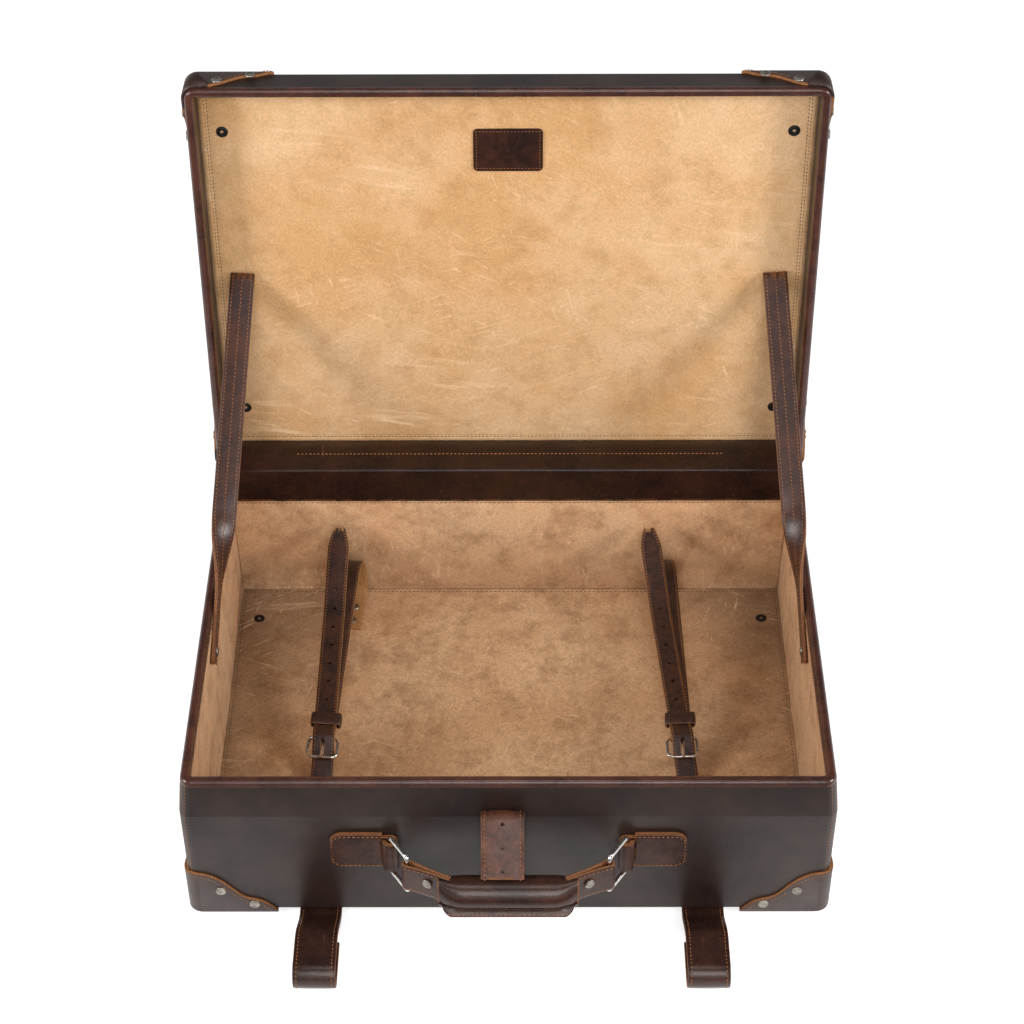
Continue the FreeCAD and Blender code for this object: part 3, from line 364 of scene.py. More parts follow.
@dataclass(frozen=True)
class Suede(Finish):
    """Split cowhide with a raised nap: dull, mottled, brushed paler, lightly scratched, darker to one side with
    painted shade and soil.

    The painted shade and soil grow with the sum of the distances from the middle plane, from the front and from the
    ground, each times its share in shade_and_soil_way, between the two values of shade_and_soil_range, in metres.
    A mark has its turn about brush_axis, its width in mm, and where it starts and is full.
    """

    pale: str = "#e6bd90"
    middle: str = "#d6a672"
    dark: str = "#bb8c58"
    brushed: str = "#f0cba2"
    shade_and_soil: str = "#6a4d35"
    wide_mm: float = 110.0
    close_mm: float = 26.0
    patch_mm: float = 90.0
    nap_mm: float = 2.0
    pale_from: Flat = (0.38, 0.62)
    mottle: float = 0.5
    mottle_from: Flat = (0.46, 0.7)
    scuffs: float = 0.8
    scuffs_from: Flat = (0.5, 0.63)
    nap: float = 0.15
    nap_shade: float = 1.4
    mottle_depth: float = 1.6
    relief: float = 0.35
    relief_mm: float = 0.7
    brush_way: Space = (9.0, 4.0, 1.0)
    brush_axis: Space = (0.0, 1.0, 0.0)
    shade_and_soil_way: Space = (0.0, 0.0, -1.0)
    shade_and_soil_range: Flat = (-0.42, -0.16)
    shade_and_soil_wander: float = 0.25
    shaded_and_soiled: float = 0.2
    marks: Tuple[Four, ...] = (
        (0.12, 7.0, 0.54, 0.76),
        (0.55, 2.6, 0.605, 0.72),
        (-0.35, 3.6, 0.6, 0.74),
        (1.3, 2.8, 0.61, 0.74),
    )

    def inputs(self, graph: Graph, place: Socket) -> Dict[str, Value]:
        """Wire wide clouds, mottling, painted shade with some soil, pale brushed marks, thin scratches and a short
        nap.
        """
        wide = graph.noise(place, self.wide_mm, detail=5.0, rough=0.6)
        close = graph.noise(place, self.close_mm, detail=7.0, rough=0.7)
        worn_and_shaded = graph.mix(graph.ramp(wide, *self.pale_from), self.middle, self.pale)
        worn_and_shaded = graph.mix(graph.ramp(close, *self.mottle_from, 0.0, self.mottle), worn_and_shaded, self.dark)
        # Painted shade with some soil: the suede is darkened towards one side, where less light falls.
        worn_and_shaded = graph.mix(self.shade_and_grime(graph, place, wide), worn_and_shaded, self.shade_and_soil)
        for mark in self.marks:
            worn_and_shaded = graph.mix(self.mark(graph, place, *mark), worn_and_shaded, self.brushed)
        # The nap is drawn about three times as coarse as it is, so that it shows.
        nap = graph.noise(place, self.nap_mm, detail=4.0, rough=0.8)
        tones = (1.0 - self.nap_shade * self.nap, 1.0 + self.nap)
        height = graph.math("MULTIPLY_ADD", close, self.mottle_depth, nap)
        return {
            "Base Color": graph.scale(worn_and_shaded, graph.ramp(nap, *NOISE_SPREAD, *tones)),
            "Normal": graph.bump(height, self.relief, self.relief_mm),
            "Roughness": 0.92,
            "Specular IOR Level": 0.15,
            "Sheen Weight": 0.05,
            "Sheen Roughness": 0.55,
        }

    def shade_and_grime(self, graph: Graph, place: Socket, wide: Socket) -> Socket:
        """Return how much the painted shade and soil darken the suede."""
        axes = add(graph.tree, "ShaderNodeSeparateXYZ", {0: place}).outputs
        parts = {0: graph.math("ABSOLUTE", axes["X"]), 1: axes["Y"], 2: axes["Z"]}
        spot = add(graph.tree, "ShaderNodeCombineXYZ", parts).outputs[0]
        dot = add(graph.tree, "ShaderNodeVectorMath", {0: spot, 1: self.shade_and_soil_way}, operation="DOT_PRODUCT")
        ragged = graph.math("MULTIPLY_ADD", wide, self.shade_and_soil_wander, dot.outputs["Value"])
        low, high = (limit + self.shade_and_soil_wander / 2 for limit in self.shade_and_soil_range)
        return graph.ramp(ragged, low, high, 0.0, self.shaded_and_soiled, interpolation_type="SMOOTHSTEP")

    def mark(self, graph: Graph, place: Socket, turn: float, width: float, low: float, high: float) -> Socket:
        """Return where pale marks of one direction lie, in patches."""
        turned = {"Vector": place, "Rotation": Vector(self.brush_axis) * turn, "Scale": self.brush_way}
        slide = add(graph.tree, "ShaderNodeMapping", turned, vector_type="TEXTURE").outputs[0]
        brush = graph.ramp(graph.noise(slide, width, detail=4.0, rough=0.6), low, high)
        shift = {0: place, 1: (turn, width, turn)}
        beside = add(graph.tree, "ShaderNodeVectorMath", shift, operation="ADD").outputs[0]
        patch = graph.noise(beside, self.patch_mm, detail=2.0)
        patch = graph.ramp(patch, *self.scuffs_from, 0.0, self.scuffs)
        return graph.math("MULTIPLY", brush, patch)


@dataclass(frozen=True)
class Metal(Finish):
    """Polished or oxidised metal with a little tarnish and fine rubbing marks."""

    bright: str = "#b9b4ab"
    tarnish: str = "#6f685e"
    rough: float = 0.24
    metallic: float = 1.0
    duller: float = 0.2
    patch_mm: float = 3.0
    patch_from: Flat = (0.42, 0.68)
    rub_mm: float = 0.7
    relief: float = 0.12
    relief_mm: float = 0.1

    def inputs(self, graph: Graph, place: Socket) -> Dict[str, Value]:
        """Wire patches of tarnish that are also duller."""
        share = graph.noise(place, self.patch_mm, detail=4.0, rough=0.65)
        share = graph.ramp(share, *self.patch_from)
        rubbed = graph.noise(place, self.rub_mm, detail=2.0)
        return {
            "Base Color": graph.mix(share, self.bright, self.tarnish),
            "Roughness": graph.ramp(share, 0.0, 1.0, self.rough, self.rough + self.duller),
            "Normal": graph.bump(rubbed, self.relief, self.relief_mm),
            "Metallic": self.metallic,
        }


@dataclass(frozen=True)
class Fibre(Finish):
    """Waxed linen thread, pressed board or twisted cotton: matt, with fine streaks of tone."""

    colour: str = "#9a6034"
    shade: str = "#5e3819"
    streak_mm: float = 0.8
    streak_from: Flat = (0.35, 0.7)
    relief: float = 0.3
    relief_mm: float = 0.2

    def inputs(self, graph: Graph, place: Socket) -> Dict[str, Value]:
        """Wire streaks of the two tones and a fibrous relief."""
        streak = graph.noise(place, self.streak_mm, detail=3.0, rough=0.7)
        return {
            "Base Color": graph.mix(graph.ramp(streak, *self.streak_from), self.colour, self.shade),
            "Normal": graph.bump(streak, self.relief, self.relief_mm),
            "Roughness": 0.75,
        }


class Finishes(Enum):
    """The suitcase's finishes, by the piece that they are for."""

    CASE = Hide(
        "smooth_case_cowhide", "case_leather", deep="#221614", light="#34251f", rubbed="#4c3a35",
        rough=0.36, shine=0.44, crease=0.03, scratch=0.12,
    )
    BAND = Hide(
        "polished_hinge_cowhide", "case_leather", deep="#1b0e0b", light="#2e1912", rubbed="#6b4230",
        rough=0.22, shine=0.28, cloud_mm=40.0, crease=0.05, scratch=0.4,
    )
    ROLL = Hide(
        "rolled_edge_cowhide", "case_leather", deep="#331d18", light="#523027", rubbed="#7d4a35",
        rough=0.23, shine=0.6, cloud_mm=30.0, crease=0.1,
    )
    CAP = Hide(
        "corner_cap_cowhide", "strap_leather", deep="#2b1d1a", light="#402c27", rubbed="#6b4433",
        raw="#a2693a", rough=0.4, crease=0.06,
    )
    STRAP = Hide(
        "bridle_strap_cowhide", "strap_leather", deep="#2a1712", light="#44271c", rubbed="#7a4a32",
        rough=0.34, cloud_mm=36.0, crease=0.12,
    )
    POLISHED = Hide(
        "polished_strap_cowhide", "strap_leather", deep="#241410", light="#40261d", rubbed="#7a4a32",
        rough=0.25, cloud_mm=36.0, crease=0.06,
    )
    TAB = Hide(
        "handle_tab_cowhide", "strap_leather", deep="#25130e", light="#42251b", rubbed="#734630",
        rough=0.4, shine=0.3, cloud_mm=24.0, crease=0.1,
    )
    PACKING = Hide(
        "packing_strap_cowhide", "strap_leather", deep="#24130f", light="#3d2217", rubbed="#74452c",
        raw="#b98752", rough=0.4, cloud_mm=22.0, crease=0.2, crease_mm=11.0,
    )
    BELT = Hide(
        "soft_belt_cowhide", "strap_leather", deep="#2d160f", light="#5f3625", rubbed="#8f5c42",
        rough=0.38, shine=0.46, cloud_mm=26.0, crease=0.2, crease_mm=7.0,
    )
    # The lid's suede keeps the default darkening towards the ground, which is towards the hinge on the open lid:
    # painted shade.
    LID_SUEDE = Suede("lid_lining_suede", "suede")
    # The floor's suede is darker towards the side walls and the back wall: partly soil, partly painted shade of the
    # walls.
    FLOOR_SUEDE = Suede(
        "floor_lining_suede", "suede", pale="#deb68d", brushed="#e4c09a", middle="#c99d74", dark="#96693f",
        mottle=0.7, nap=0.24, brush_way=(9.0, 1.0, 4.0), brush_axis=(0.0, 0.0, 1.0),
        shade_and_soil_way=(1.0, 0.35, 0.0), shade_and_soil_range=(0.15, 0.3), shaded_and_soiled=0.72,
    )
    # The walls' suede is darker towards the floor: partly soil, partly painted shade in the corner with the floor.
    WALL_SUEDE = Suede(
        "wall_lining_suede", "suede", pale="#dfb78e", brushed="#e4c09a", middle="#cb9e75", dark="#976a42",
        mottle=0.65, nap=0.2, brush_way=(1.2, 1.2, 6.0), brush_axis=(0.3, 0.3, 0.0),
        shade_and_soil_range=(-0.14, -0.02), shaded_and_soiled=0.32,
    )
    WIRE = Metal("nickel_plated_wire", "bright_wire", "#e8e6e2", "#cfcbc4", rough=0.12, relief=0.0)
    RIVET = Metal("aged_pewter_rivet", "rivet", "#a59e94", "#7c756c", rough=0.36, patch_mm=7.0)
    STUD = Metal("black_oxide_stud", "stud", "#1b1918", "#2c2825", rough=0.4, metallic=0.6)
    TAN_THREAD = Fibre("waxed_linen_thread_tan", "strap_leather", "#a76c3c", "#764725")
    BROWN_THREAD = Fibre("waxed_linen_thread_brown", "suede", "#5d3d24", "#352112")
    BOARD = Fibre("pressed_millboard", "board", "#6b5a48", "#4a3d31", streak_mm=4.0)
    CORE = Fibre("twisted_cotton_core", "core", "#b8a88c", "#8a7a60", streak_mm=2.0)

    def material(self) -> Material:
        """Return the finish's material."""
        return self.value.material()


def link(name: str, mesh: bpy.types.Mesh, finish: Finishes) -> Object:
    """Make an object of a mesh, in a finish.

    Args:
        name: the piece's name.
        mesh: its mesh, in place.
        finish: what it is made of.

    Returns:
        The object, at the origin.
    """
    made = bpy.data.objects.new(name, mesh)
    bpy.context.scene.collection.objects.link(made)
    if not mesh.materials:
        mesh.materials.append(finish.material())
    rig.slot(made, finish.value.slot)
    return made


def shaped(name: str, made: BMesh, finish: Finishes, outward: bool = True) -> Object:
    """Make an object of a bmesh, which is freed.

    Args:
        name: the piece's name.
        made: its points and faces, in place.
        finish: what it is made of.
        outward: whether all faces are turned to look outwards.

    Returns:
        The object, at the origin.
    """
    if outward:
        bmesh.ops.recalc_face_normals(made, faces=made.faces)
    mesh = bpy.data.meshes.new(name)
    made.to_mesh(mesh)
    made.free()
    return link(name, mesh, finish)


def loft(made: BMesh, rings: Sequence[List[BMVert]], closed: bool = False) -> None:
    """Join each ring of points to the next with smooth faces, and the last to the first if closed."""
    pairs = list(zip(rings, rings[1:]))
    if closed:
        pairs.append((rings[-1], rings[0]))
    for first, second in pairs:
        for i in range(len(first)):
            j = (i + 1) % len(first)
            made.faces.new((first[i], first[j], second[j], second[i])).smooth = True


def settle(made: Object, body: str, *nodes: str) -> Object:
    """Let a piece ride on a body, stand for CAD nodes and be reported."""
    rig.ride(made, body)
    if nodes:
        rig.replaces(made, *nodes)
    LOG.info("%s: %d faces on %s", made.name, len(made.data.polygons), body)
    return made


def stretch(made: Object, bodies: Tuple[str, str], start: Vector, end: Vector, *nodes: str) -> Object:
    """Let a piece bend between two bodies, stand for CAD nodes and be reported."""
    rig.blend(made, bodies[0], bodies[1], start=tuple(start), end=tuple(end))
    if nodes:
        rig.replaces(made, *nodes)
    LOG.info("%s: %d faces between %s and %s", made.name, len(made.data.polygons), *bodies)
    return made


def dress(finish: Finishes, *nodes: str) -> None:
    """Give CAD nodes that are kept a finish."""
    for node in nodes:
        kept = frame["nodes"][node]
        kept.data.materials.clear()
        kept.data.materials.append(finish.material())
        LOG.info("%s: kept, %s", node, finish.value.name)


def skin_of(*nodes: str) -> BVHTree:
    """Return a search tree of the surfaces of CAD nodes."""
    points: List[Vector] = []
    faces: List[List[int]] = []
    for node in nodes:
        mesh = frame["nodes"][node].data
        first = len(points)
        points.extend(v.co.copy() for v in mesh.vertices)
        faces.extend([first + i for i in p.vertices] for p in mesh.polygons)
    return BVHTree.FromPolygons(points, faces)


@dataclass
class Row:
    """A line along which something repeats, with the way that the surface faces at each point."""

    points: List[Vector] = field(default_factory=list)
    facing: List[Vector] = field(default_factory=list)

    def put(self, point: Vector, facing: Vector) -> None:
        """Add a point to the line."""
        self.points.append(point)
        self.facing.append(facing)

    def carrier(self, name: str, edges: Sequence[Tuple[int, int]], finish: Finishes) -> Object:
        """Return an object of the points, with edges, that a tree can run on."""
        mesh = bpy.data.meshes.new(name)
        mesh.from_pydata(self.points, edges, [])
        held = mesh.attributes.new("facing", "FLOAT_VECTOR", "POINT")
        held.data.foreach_set("vector", [c for f in self.facing for c in f])
        return link(name + "_carrier", mesh, finish)


def drape(skin: BVHTree, places: Iterable[Vector], toward: Vector) -> Row:
    """Lay a line of points on a surface.

    Args:
        skin: the surface.
        places: points outside it, in metres.
        toward: the way in which they are moved onto it.

    Returns:
        The points that met the surface, as a row.
    """
    row = Row()
    for place in places:
        hit, normal, _, _ = skin.ray_cast(place, toward, DRAPE_REACH)
        if hit is not None:
            row.put(hit, normal if normal.dot(toward) < 0 else -normal)
    return row


def span(first: Vector, last: Vector, step_mm: float = 4.0) -> List[Vector]:
    """Return points from first to last, in metres, about step_mm apart."""
    count = max(2, int((last - first).length / MM / step_mm))
    return [first.lerp(last, i / count) for i in range(count + 1)]


def sides_of(low: Flat, high: Flat) -> List[Tuple[Flat, Flat]]:
    """Return the ends of the four sides of a rectangle, given by two corners."""
    corners = [low, (high[0], low[1]), high, (low[0], high[1])]
    return list(zip(corners, corners[1:] + corners[:1]))


def plain(made: Object, name: str) -> Object:
    """Replace an object by its evaluated mesh, with no modifier left.

    Args:
        made: an object with modifiers.
        name: the finished piece's name.

    Returns:
        A new object with a plain mesh.
    """
    graph = bpy.context.evaluated_depsgraph_get()
    mesh = bpy.data.meshes.new_from_object(made.evaluated_get(graph))
    mesh.name = name
    result = bpy.data.objects.new(name, mesh)
    bpy.context.scene.collection.objects.link(result)
    for key in made.keys():
        if key.startswith("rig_"):
            result[key] = made[key]
    bpy.data.objects.remove(made)
    return result


class NodeTrees:
    """Geometry Nodes trees for what repeats: stitches along rows, and heads of rivets and studs."""

    def __init__(self) -> None:
        """Build both trees."""
        self.stitches = self._stitch_tree()
        self.heads = self._head_tree()

    @staticmethod
    def _begin(name: str, **inputs: str) -> Tree:
        """Return a tree with named inputs of the given kinds and one output of geometry."""
        tree = bpy.data.node_groups.new(name, "GeometryNodeTree")
        for title, kind in inputs.items():
            tree.interface.new_socket(title, in_out="INPUT", socket_type="NodeSocket" + kind)
        tree.interface.new_socket("Pieces", in_out="OUTPUT", socket_type="NodeSocketGeometry")
        return tree

    @staticmethod
    def _facing(tree: Tree) -> Socket:
        """Return the way that each point of a row faces."""
        named = add(tree, "GeometryNodeInputNamedAttribute", {"Name": "facing"}, data_type="FLOAT_VECTOR")
        return named.outputs[0]

    @staticmethod
    def _end(tree: Tree, material: Socket, **placed: Socket) -> None:
        """Set an instance on each point and put all of them out, real, smooth and painted."""
        copies = add(tree, "GeometryNodeInstanceOnPoints", placed)
        real = add(tree, "GeometryNodeRealizeInstances", {0: copies.outputs[0]})
        smooth = add(tree, "GeometryNodeSetShadeSmooth", {0: real.outputs[0]})
        values = {"Geometry": smooth.outputs[0], "Material": material}
        add(tree, "NodeGroupOutput", {0: add(tree, "GeometryNodeSetMaterial", values).outputs[0]})

    def _stitch_tree(self) -> Tree:
        """Return the tree that lays slanted spindle-shaped stitches along lines of edges."""
        sizes = dict.fromkeys(("Pitch", "Length", "Thickness", "Slant"), "Float")
        tree = self._begin("stitch_rows", Rows="Geometry", Thread="Material", **sizes)
        given = add(tree, "NodeGroupInput").outputs
        line = add(tree, "GeometryNodeMeshToCurve", {"Mesh": given["Rows"]})
        spaced = {"Curve": line.outputs[0], "Length": given["Pitch"]}
        even = add(tree, "GeometryNodeResampleCurve", spaced, mode="LENGTH")
        axes = {0: self._facing(tree), 1: add(tree, "GeometryNodeInputTangent").outputs[0]}
        turn = add(tree, "FunctionNodeAxesToRotation", axes, primary_axis="Z", secondary_axis="X")
        lean = add(tree, "ShaderNodeCombineXYZ", {"Z": given["Slant"]})
        lean = add(tree, "FunctionNodeEulerToRotation", {0: lean.outputs[0]})
        both = {0: turn.outputs[0], 1: lean.outputs[0]}
        turn = add(tree, "FunctionNodeRotateRotation", both, rotation_space="LOCAL")
        bead = add(tree, "GeometryNodeMeshUVSphere", {"Segments": 6, "Rings": 5, "Radius": 0.5})
        sizes = {"X": given["Length"], "Y": given["Thickness"], "Z": given["Thickness"]}
        size = add(tree, "ShaderNodeCombineXYZ", sizes)
        spindle = add(tree, "GeometryNodeTransform", {"Geometry": bead.outputs[0], "Scale": size.outputs[0]})
        placed = {"Points": even.outputs[0], "Instance": spindle.outputs[0], "Rotation": turn.outputs[0]}
        self._end(tree, given["Thread"], **placed)
        return tree

    def _head_tree(self) -> Tree:
        """Return the tree that sets a turned head on each point, along its facing."""
        tree = self._begin("set_heads", Places="Geometry", Head="Object", Metal="Material")
        given = add(tree, "NodeGroupInput").outputs
        turn = add(tree, "FunctionNodeAlignRotationToVector", {"Vector": self._facing(tree)}, axis="Z")
        head = add(tree, "GeometryNodeObjectInfo", {"Object": given["Head"]}).outputs["Geometry"]
        self._end(tree, given["Metal"], Points=given["Places"], Instance=head, Rotation=turn.outputs[0])
        return tree

    @staticmethod
    def run(base: Object, tree: Tree, values: Dict[str, Any], name: str) -> Object:
        """Run a tree on an object and keep only the plain mesh.

        Args:
            base: the object that holds the rows or the places.
            tree: the tree.
            values: the tree's inputs, by name.
            name: the finished piece's name.

        Returns:
            The finished piece.
        """
        modifier = base.modifiers.new("nodes", "NODES")
        modifier.node_group = tree
        for item in tree.interface.items_tree:
            if item.in_out == "INPUT" and item.name in values:
                modifier[item.identifier] = values[item.name]
        return plain(base, name)


TREES = NodeTrees()


@dataclass(frozen=True)
class Seam:
    """A kind of stitching: its thread and the size of its stitches."""

    thread: Finishes = Finishes.TAN_THREAD
    pitch: float = 3.8
    length: float = 2.7
    thickness: float = 0.85
    slant: float = 10.0

    def sew(self, name: str, rows: Sequence[Row]) -> Object:
        """Sew along rows.

        Args:
            name: the piece's name.
            rows: the lines of the stitching.

        Returns:
            All the stitches as one object.
        """
        all_rows = Row()
        edges: List[Tuple[int, int]] = []
        for row in rows:
            first = len(all_rows.points)
            all_rows.points.extend(row.points)
            all_rows.facing.extend(row.facing)
            edges.extend((first + i, first + i + 1) for i in range(len(row.points) - 1))
        values = {"Pitch": self.pitch * MM, "Length": self.length * MM, "Thickness": self.thickness * MM}
        values.update({"Slant": math.radians(self.slant), "Thread": self.thread.material()})
        return NodeTrees.run(all_rows.carrier(name, edges, self.thread), TREES.stitches, values, name)


WHIP = Seam(pitch=3.2, length=2.9, thickness=0.95, slant=38.0)


@dataclass(frozen=True)
class Head:
    """A turned head of a rivet or stud: its outline as radius and height, from the middle out."""

    outline: Tuple[Flat, ...]
    metal: Finishes
    sides: int = 24

    def template(self) -> Object:
        """Return one head about +Z, made by turning the outline."""
        made = bmesh.new()
        rings = []
        for radius, height in self.outline:
            if radius < 1e-6:
                rings.append([made.verts.new((0, 0, height * MM))])
                continue
            turns = [2 * math.pi * i / self.sides for i in range(self.sides)]
            ring = [(radius * MM * math.cos(t), radius * MM * math.sin(t), height * MM) for t in turns]
            rings.append([made.verts.new(place) for place in ring])
        for inner, outer in zip(rings, rings[1:]):
            for i in range(self.sides):
                j = (i + 1) % self.sides
                corners = [inner[0]] if len(inner) == 1 else [inner[j], inner[i]]
                made.faces.new(corners + [outer[i], outer[j]])
        return shaped("head_template", made, self.metal)

    def place(self, name: str, places: Row) -> Object:
        """Set a head on each place and return all of them as one object."""
        base = places.carrier(name, [], self.metal)
        template = self.template()
        values = {"Head": template, "Metal": self.metal.material()}
        made = NodeTrees.run(base, TREES.heads, values, name)
        bpy.data.objects.remove(template)
        return made

    def stand_for(self, node: str, name: str, body: str) -> None:
        """Set a head on each one of a CAD node and let them stand for the node."""
        settle(self.place(name, read_heads(node)), body, node)


RIVET_HEAD = Head(
    ((0, 0.75), (1.2, 0.8), (2.6, 1.15), (3.4, 1.3), (4.0, 1.15), (4.5, 0.6), (4.6, 0.0), (4.4, -0.5)),
    Finishes.RIVET,
)
STUD_HEAD = Head(
    (
        (0, 0.3), (1.2, 0.3), (1.5, 0.9), (1.9, 1.5), (3.2, 1.6),
        (4.6, 1.35), (5.3, 0.8), (5.5, 0.0), (5.3, -0.4),
    ),
    Finishes.STUD,
)


def islands(made: BMesh) -> List[List[BMVert]]:
    """Return the points of a mesh in groups, each of points that hang together."""
    made.verts.ensure_lookup_table()
    groups = []
    seen = set()
    for start in made.verts:
        if start.index in seen:
            continue
        seen.add(start.index)
        stack, group = [start], []
        while stack:
            vert = stack.pop()
            group.append(vert)
            for edge in vert.link_edges:
                other = edge.other_vert(vert)
                if other.index not in seen:
                    seen.add(other.index)
                    stack.append(other)
        groups.append(group)
    return groups


def read_heads(node: str) -> Row:
    """Find where each rivet or stud of a CAD node stands and which way it faces.

    Args:
        node: a node of several round heads.

    Returns:
        The middle of each head's foot, with its axis.
    """
    made = bmesh.new()
    made.from_mesh(frame["nodes"][node].data)
    bmesh.ops.remove_doubles(made, verts=made.verts, dist=1e-6)
    row = Row()
    for island in islands(made):
        faces = {f for v in island for f in v.link_faces}
        largest = max(faces, key=lambda f: f.calc_area()).normal.copy()
        flat = sorted(faces, key=lambda f: -abs(f.normal.dot(largest)) * f.calc_area())
        opposite = [f.normal * f.calc_area() for f in flat if f.normal.dot(largest) < -PARALLEL]
        axis = -sum(opposite, Vector())
        axis = axis.normalized() if axis.length > 0 else largest
        ahead = sum(f.calc_area() for f in faces if f.normal.dot(axis) > PARALLEL)
        behind = sum(f.calc_area() for f in faces if f.normal.dot(axis) < -PARALLEL)
        if ahead > behind:
            axis = -axis
        middle = sum((v.co for v in island), Vector()) / len(island)
        foot = min(v.co.dot(axis) for v in island)
        row.put(middle + axis * (foot - middle.dot(axis)), axis)
    made.free()
    return row


def bend(points: Sequence[Flat], radii: Sequence[float], step: float) -> List[Four]:
    """Round the corners of a path and sample it.

    Args:
        points: the path's corners, in a plane.
        radii: the radius at each inner corner.
        step: the spacing on straight runs.

    Returns:
        Place and direction of travel of each sample.
    """
    corners = [Vector(p) for p in points]
    last = corners[0]
    result: List[Four] = []

    def straight(a: Vector, b: Vector) -> None:
        run = b - a
        if run.length < 1e-6:
            return
        way = run.normalized()
        count = max(1, round(run.length / step))
        for i in range(count):
            here = a + run * (i / count)
            result.append((here.x, here.y, way.x, way.y))

    for corner, radius, after in zip(corners[1:], radii, corners[2:]):
        back = (last - corner).normalized()
        ahead = (after - corner).normalized()
        half = back.angle(ahead) / 2
        reach = radius / math.tan(half)
        start = corner + back * reach
        middle = corner + (back + ahead).normalized() * (radius / math.sin(half))
        straight(last, start)
        sweep = math.pi - 2 * half
        turn = 1 if (-back).cross(ahead) > 0 else -1
        count = max(3, math.ceil(math.degrees(sweep) / ARC_STEP))
        for i in range(count):
            angle = turn * sweep * i / count
            arm = Matrix.Rotation(angle, 2) @ (start - middle)
            way = Matrix.Rotation(angle, 2) @ (-back)
            here = middle + arm
            result.append((here.x, here.y, way.x, way.y))
        last = corner + ahead * reach
    straight(last, corners[-1])
    way = (corners[-1] - last).normalized()
    result.append((corners[-1].x, corners[-1].y, way.x, way.y))
    return result


@dataclass
class Station:
    """One place along a strap: its middle in metres, the way across, the way up, and half sizes in mm."""

    middle: Vector
    across: Vector
    up: Vector
    half_width: float
    half_thick: float

    @classmethod
    def toward(
        cls, middle: Vector, outside: Vector, across: Vector, half_width: float, half_thick: float
    ) -> "Station":
        """Return a station whose upper face looks from its middle to a point outside."""
        return cls(middle, across, (outside - middle).normalized(), half_width, half_thick)

    def at(self, across: float, up: float) -> Vector:
        """Return a point in metres, from distances in mm across the strap and up."""
        return self.middle + self.across * (across * MM) + self.up * (up * MM)


@dataclass
class Strap:
    """A flat leather strap of one or two plies with rounded edges, along stations."""

    name: str
    stations: List[Station]
    finish: Finishes = Finishes.STRAP
    plies: int = 1
    rounding: float = 0.8
    most_round: float = 0.8
    ply_groove: Flat = (0.22, 0.45)
    crown: float = 0.25
    wrinkle: float = 0.15
    wrinkle_mm: float = 1000.0 / 60
    wrinkle_from: float = 0.6
    flesh_below: bool = False
    closed: bool = False
    columns: int = 8

    def section(self, station: Station) -> List[Tuple[float, float, float]]:
        """Return the outline at a station: across and up in mm, and how raw the leather is there."""
        w, t = station.half_width, station.half_thick
        r = min(self.rounding, self.most_round * t)
        c = ROUND_CUT * r
        flat = [-1 + 2 * i / self.columns for i in range(self.columns + 1)]
        top = [(f * (w - r), t - self.crown * f * f, 0.0) for f in flat]
        low = t - self.crown
        side = [(w - c, low - c, 0.4), (w, low - r, 1.0)]
        if self.plies == 2:
            half, deep = self.ply_groove
            side += [(w, half, 1.0), (w - deep, 0.0, 0.8), (w, -half, 1.0)]
        else:
            side += [(w, 0.0, 1.0)]
        side += [(w, -t + r, 1.0), (w - c, -t + c, 0.7)]
        raw = 1.0 if self.flesh_below else 0.0
        under = [(-f * (w - r), -t, raw) for f in flat]
        mirror = [(-a, b, c) for a, b, c in reversed(side)]
        return top + side + under + mirror

    def mesh(self) -> Object:
        """Build the strap and return its object."""
        made = bmesh.new()
        cut = made.verts.layers.float.new("cut")
        rings = []
        for station in self.stations:
            ring = []
            for a, b, raw in self.section(station):
                seed = (station.middle + station.across * (a * MM)) * per_metre(self.wrinkle_mm)
                on_face = abs(b) > self.wrinkle_from * station.half_thick
                lift = self.wrinkle * noise.noise(seed) if on_face else 0.0
                vert = made.verts.new(station.at(a, b + lift))
                vert[cut] = raw
                ring.append(vert)
            rings.append(ring)
        loft(made, rings, self.closed)
        if not self.closed:
            self.close_end(made, rings[0], True)
            self.close_end(made, rings[-1], False)
            bmesh.ops.remove_doubles(made, verts=made.verts, dist=1e-7)
        return shaped(self.name, made, self.finish)

    def close_end(self, made: BMesh, ring: List[BMVert], first: bool) -> None:
        """Close the strap's first or last end with strips across it and a piece at each side."""
        cut = made.verts.layers.float["cut"]
        rim = []
        for vert in ring:
            copy = made.verts.new(vert.co)
            copy[cut] = 1.0
            rim.append(copy)
        top = self.columns + 1
        under = len(ring) // 2
        faces = []
        for i in range(self.columns):
            low = under + self.columns - i
            faces.append([rim[i], rim[i + 1], rim[low - 1], rim[low]])
        faces += [rim[top - 1:under + 1], rim[under + self.columns:] + rim[:1]]
        for face in faces:
            made.faces.new(face if first else face[::-1])

    def row(self, inset: float, side: int, above: bool = True, skip: Tuple[int, int] = (0, 0)) -> Row:
        """Return a line near one edge for stitches.

        Args:
            inset: how far in from the edge, in mm.
            side: 1 or -1, which edge.
            above: on the upper face, or else on the lower one.
            skip: how many stations to leave out at each end.

        Returns:
            The row.
        """
        row = Row()
        last = len(self.stations) - skip[1]
        for station in self.stations[skip[0]:last]:
            a = side * (station.half_width - inset)
            share = a / max(station.half_width, 1e-6)
            b = station.half_thick - self.crown * share * share if above else -station.half_thick
            row.put(station.at(a, b), station.up if above else -station.up)
        return row

    def edge_rows(self, inset: float) -> List[Row]:
        """Return the lines near both edges of the upper face."""
        return [self.row(inset, side) for side in (-1, 1)]

    def cross_row(self, index: int, inset: float) -> Row:
        """Return a line across the upper face at one station, clear of both edges by inset."""
        station = self.stations[index]
        half = (station.half_width - inset) * MM
        middle = station.middle + station.up * ((station.half_thick - 0.5 * self.crown) * MM)
        points = span(middle - station.across * half, middle + station.across * half)
        return Row(points, [station.up] * len(points))


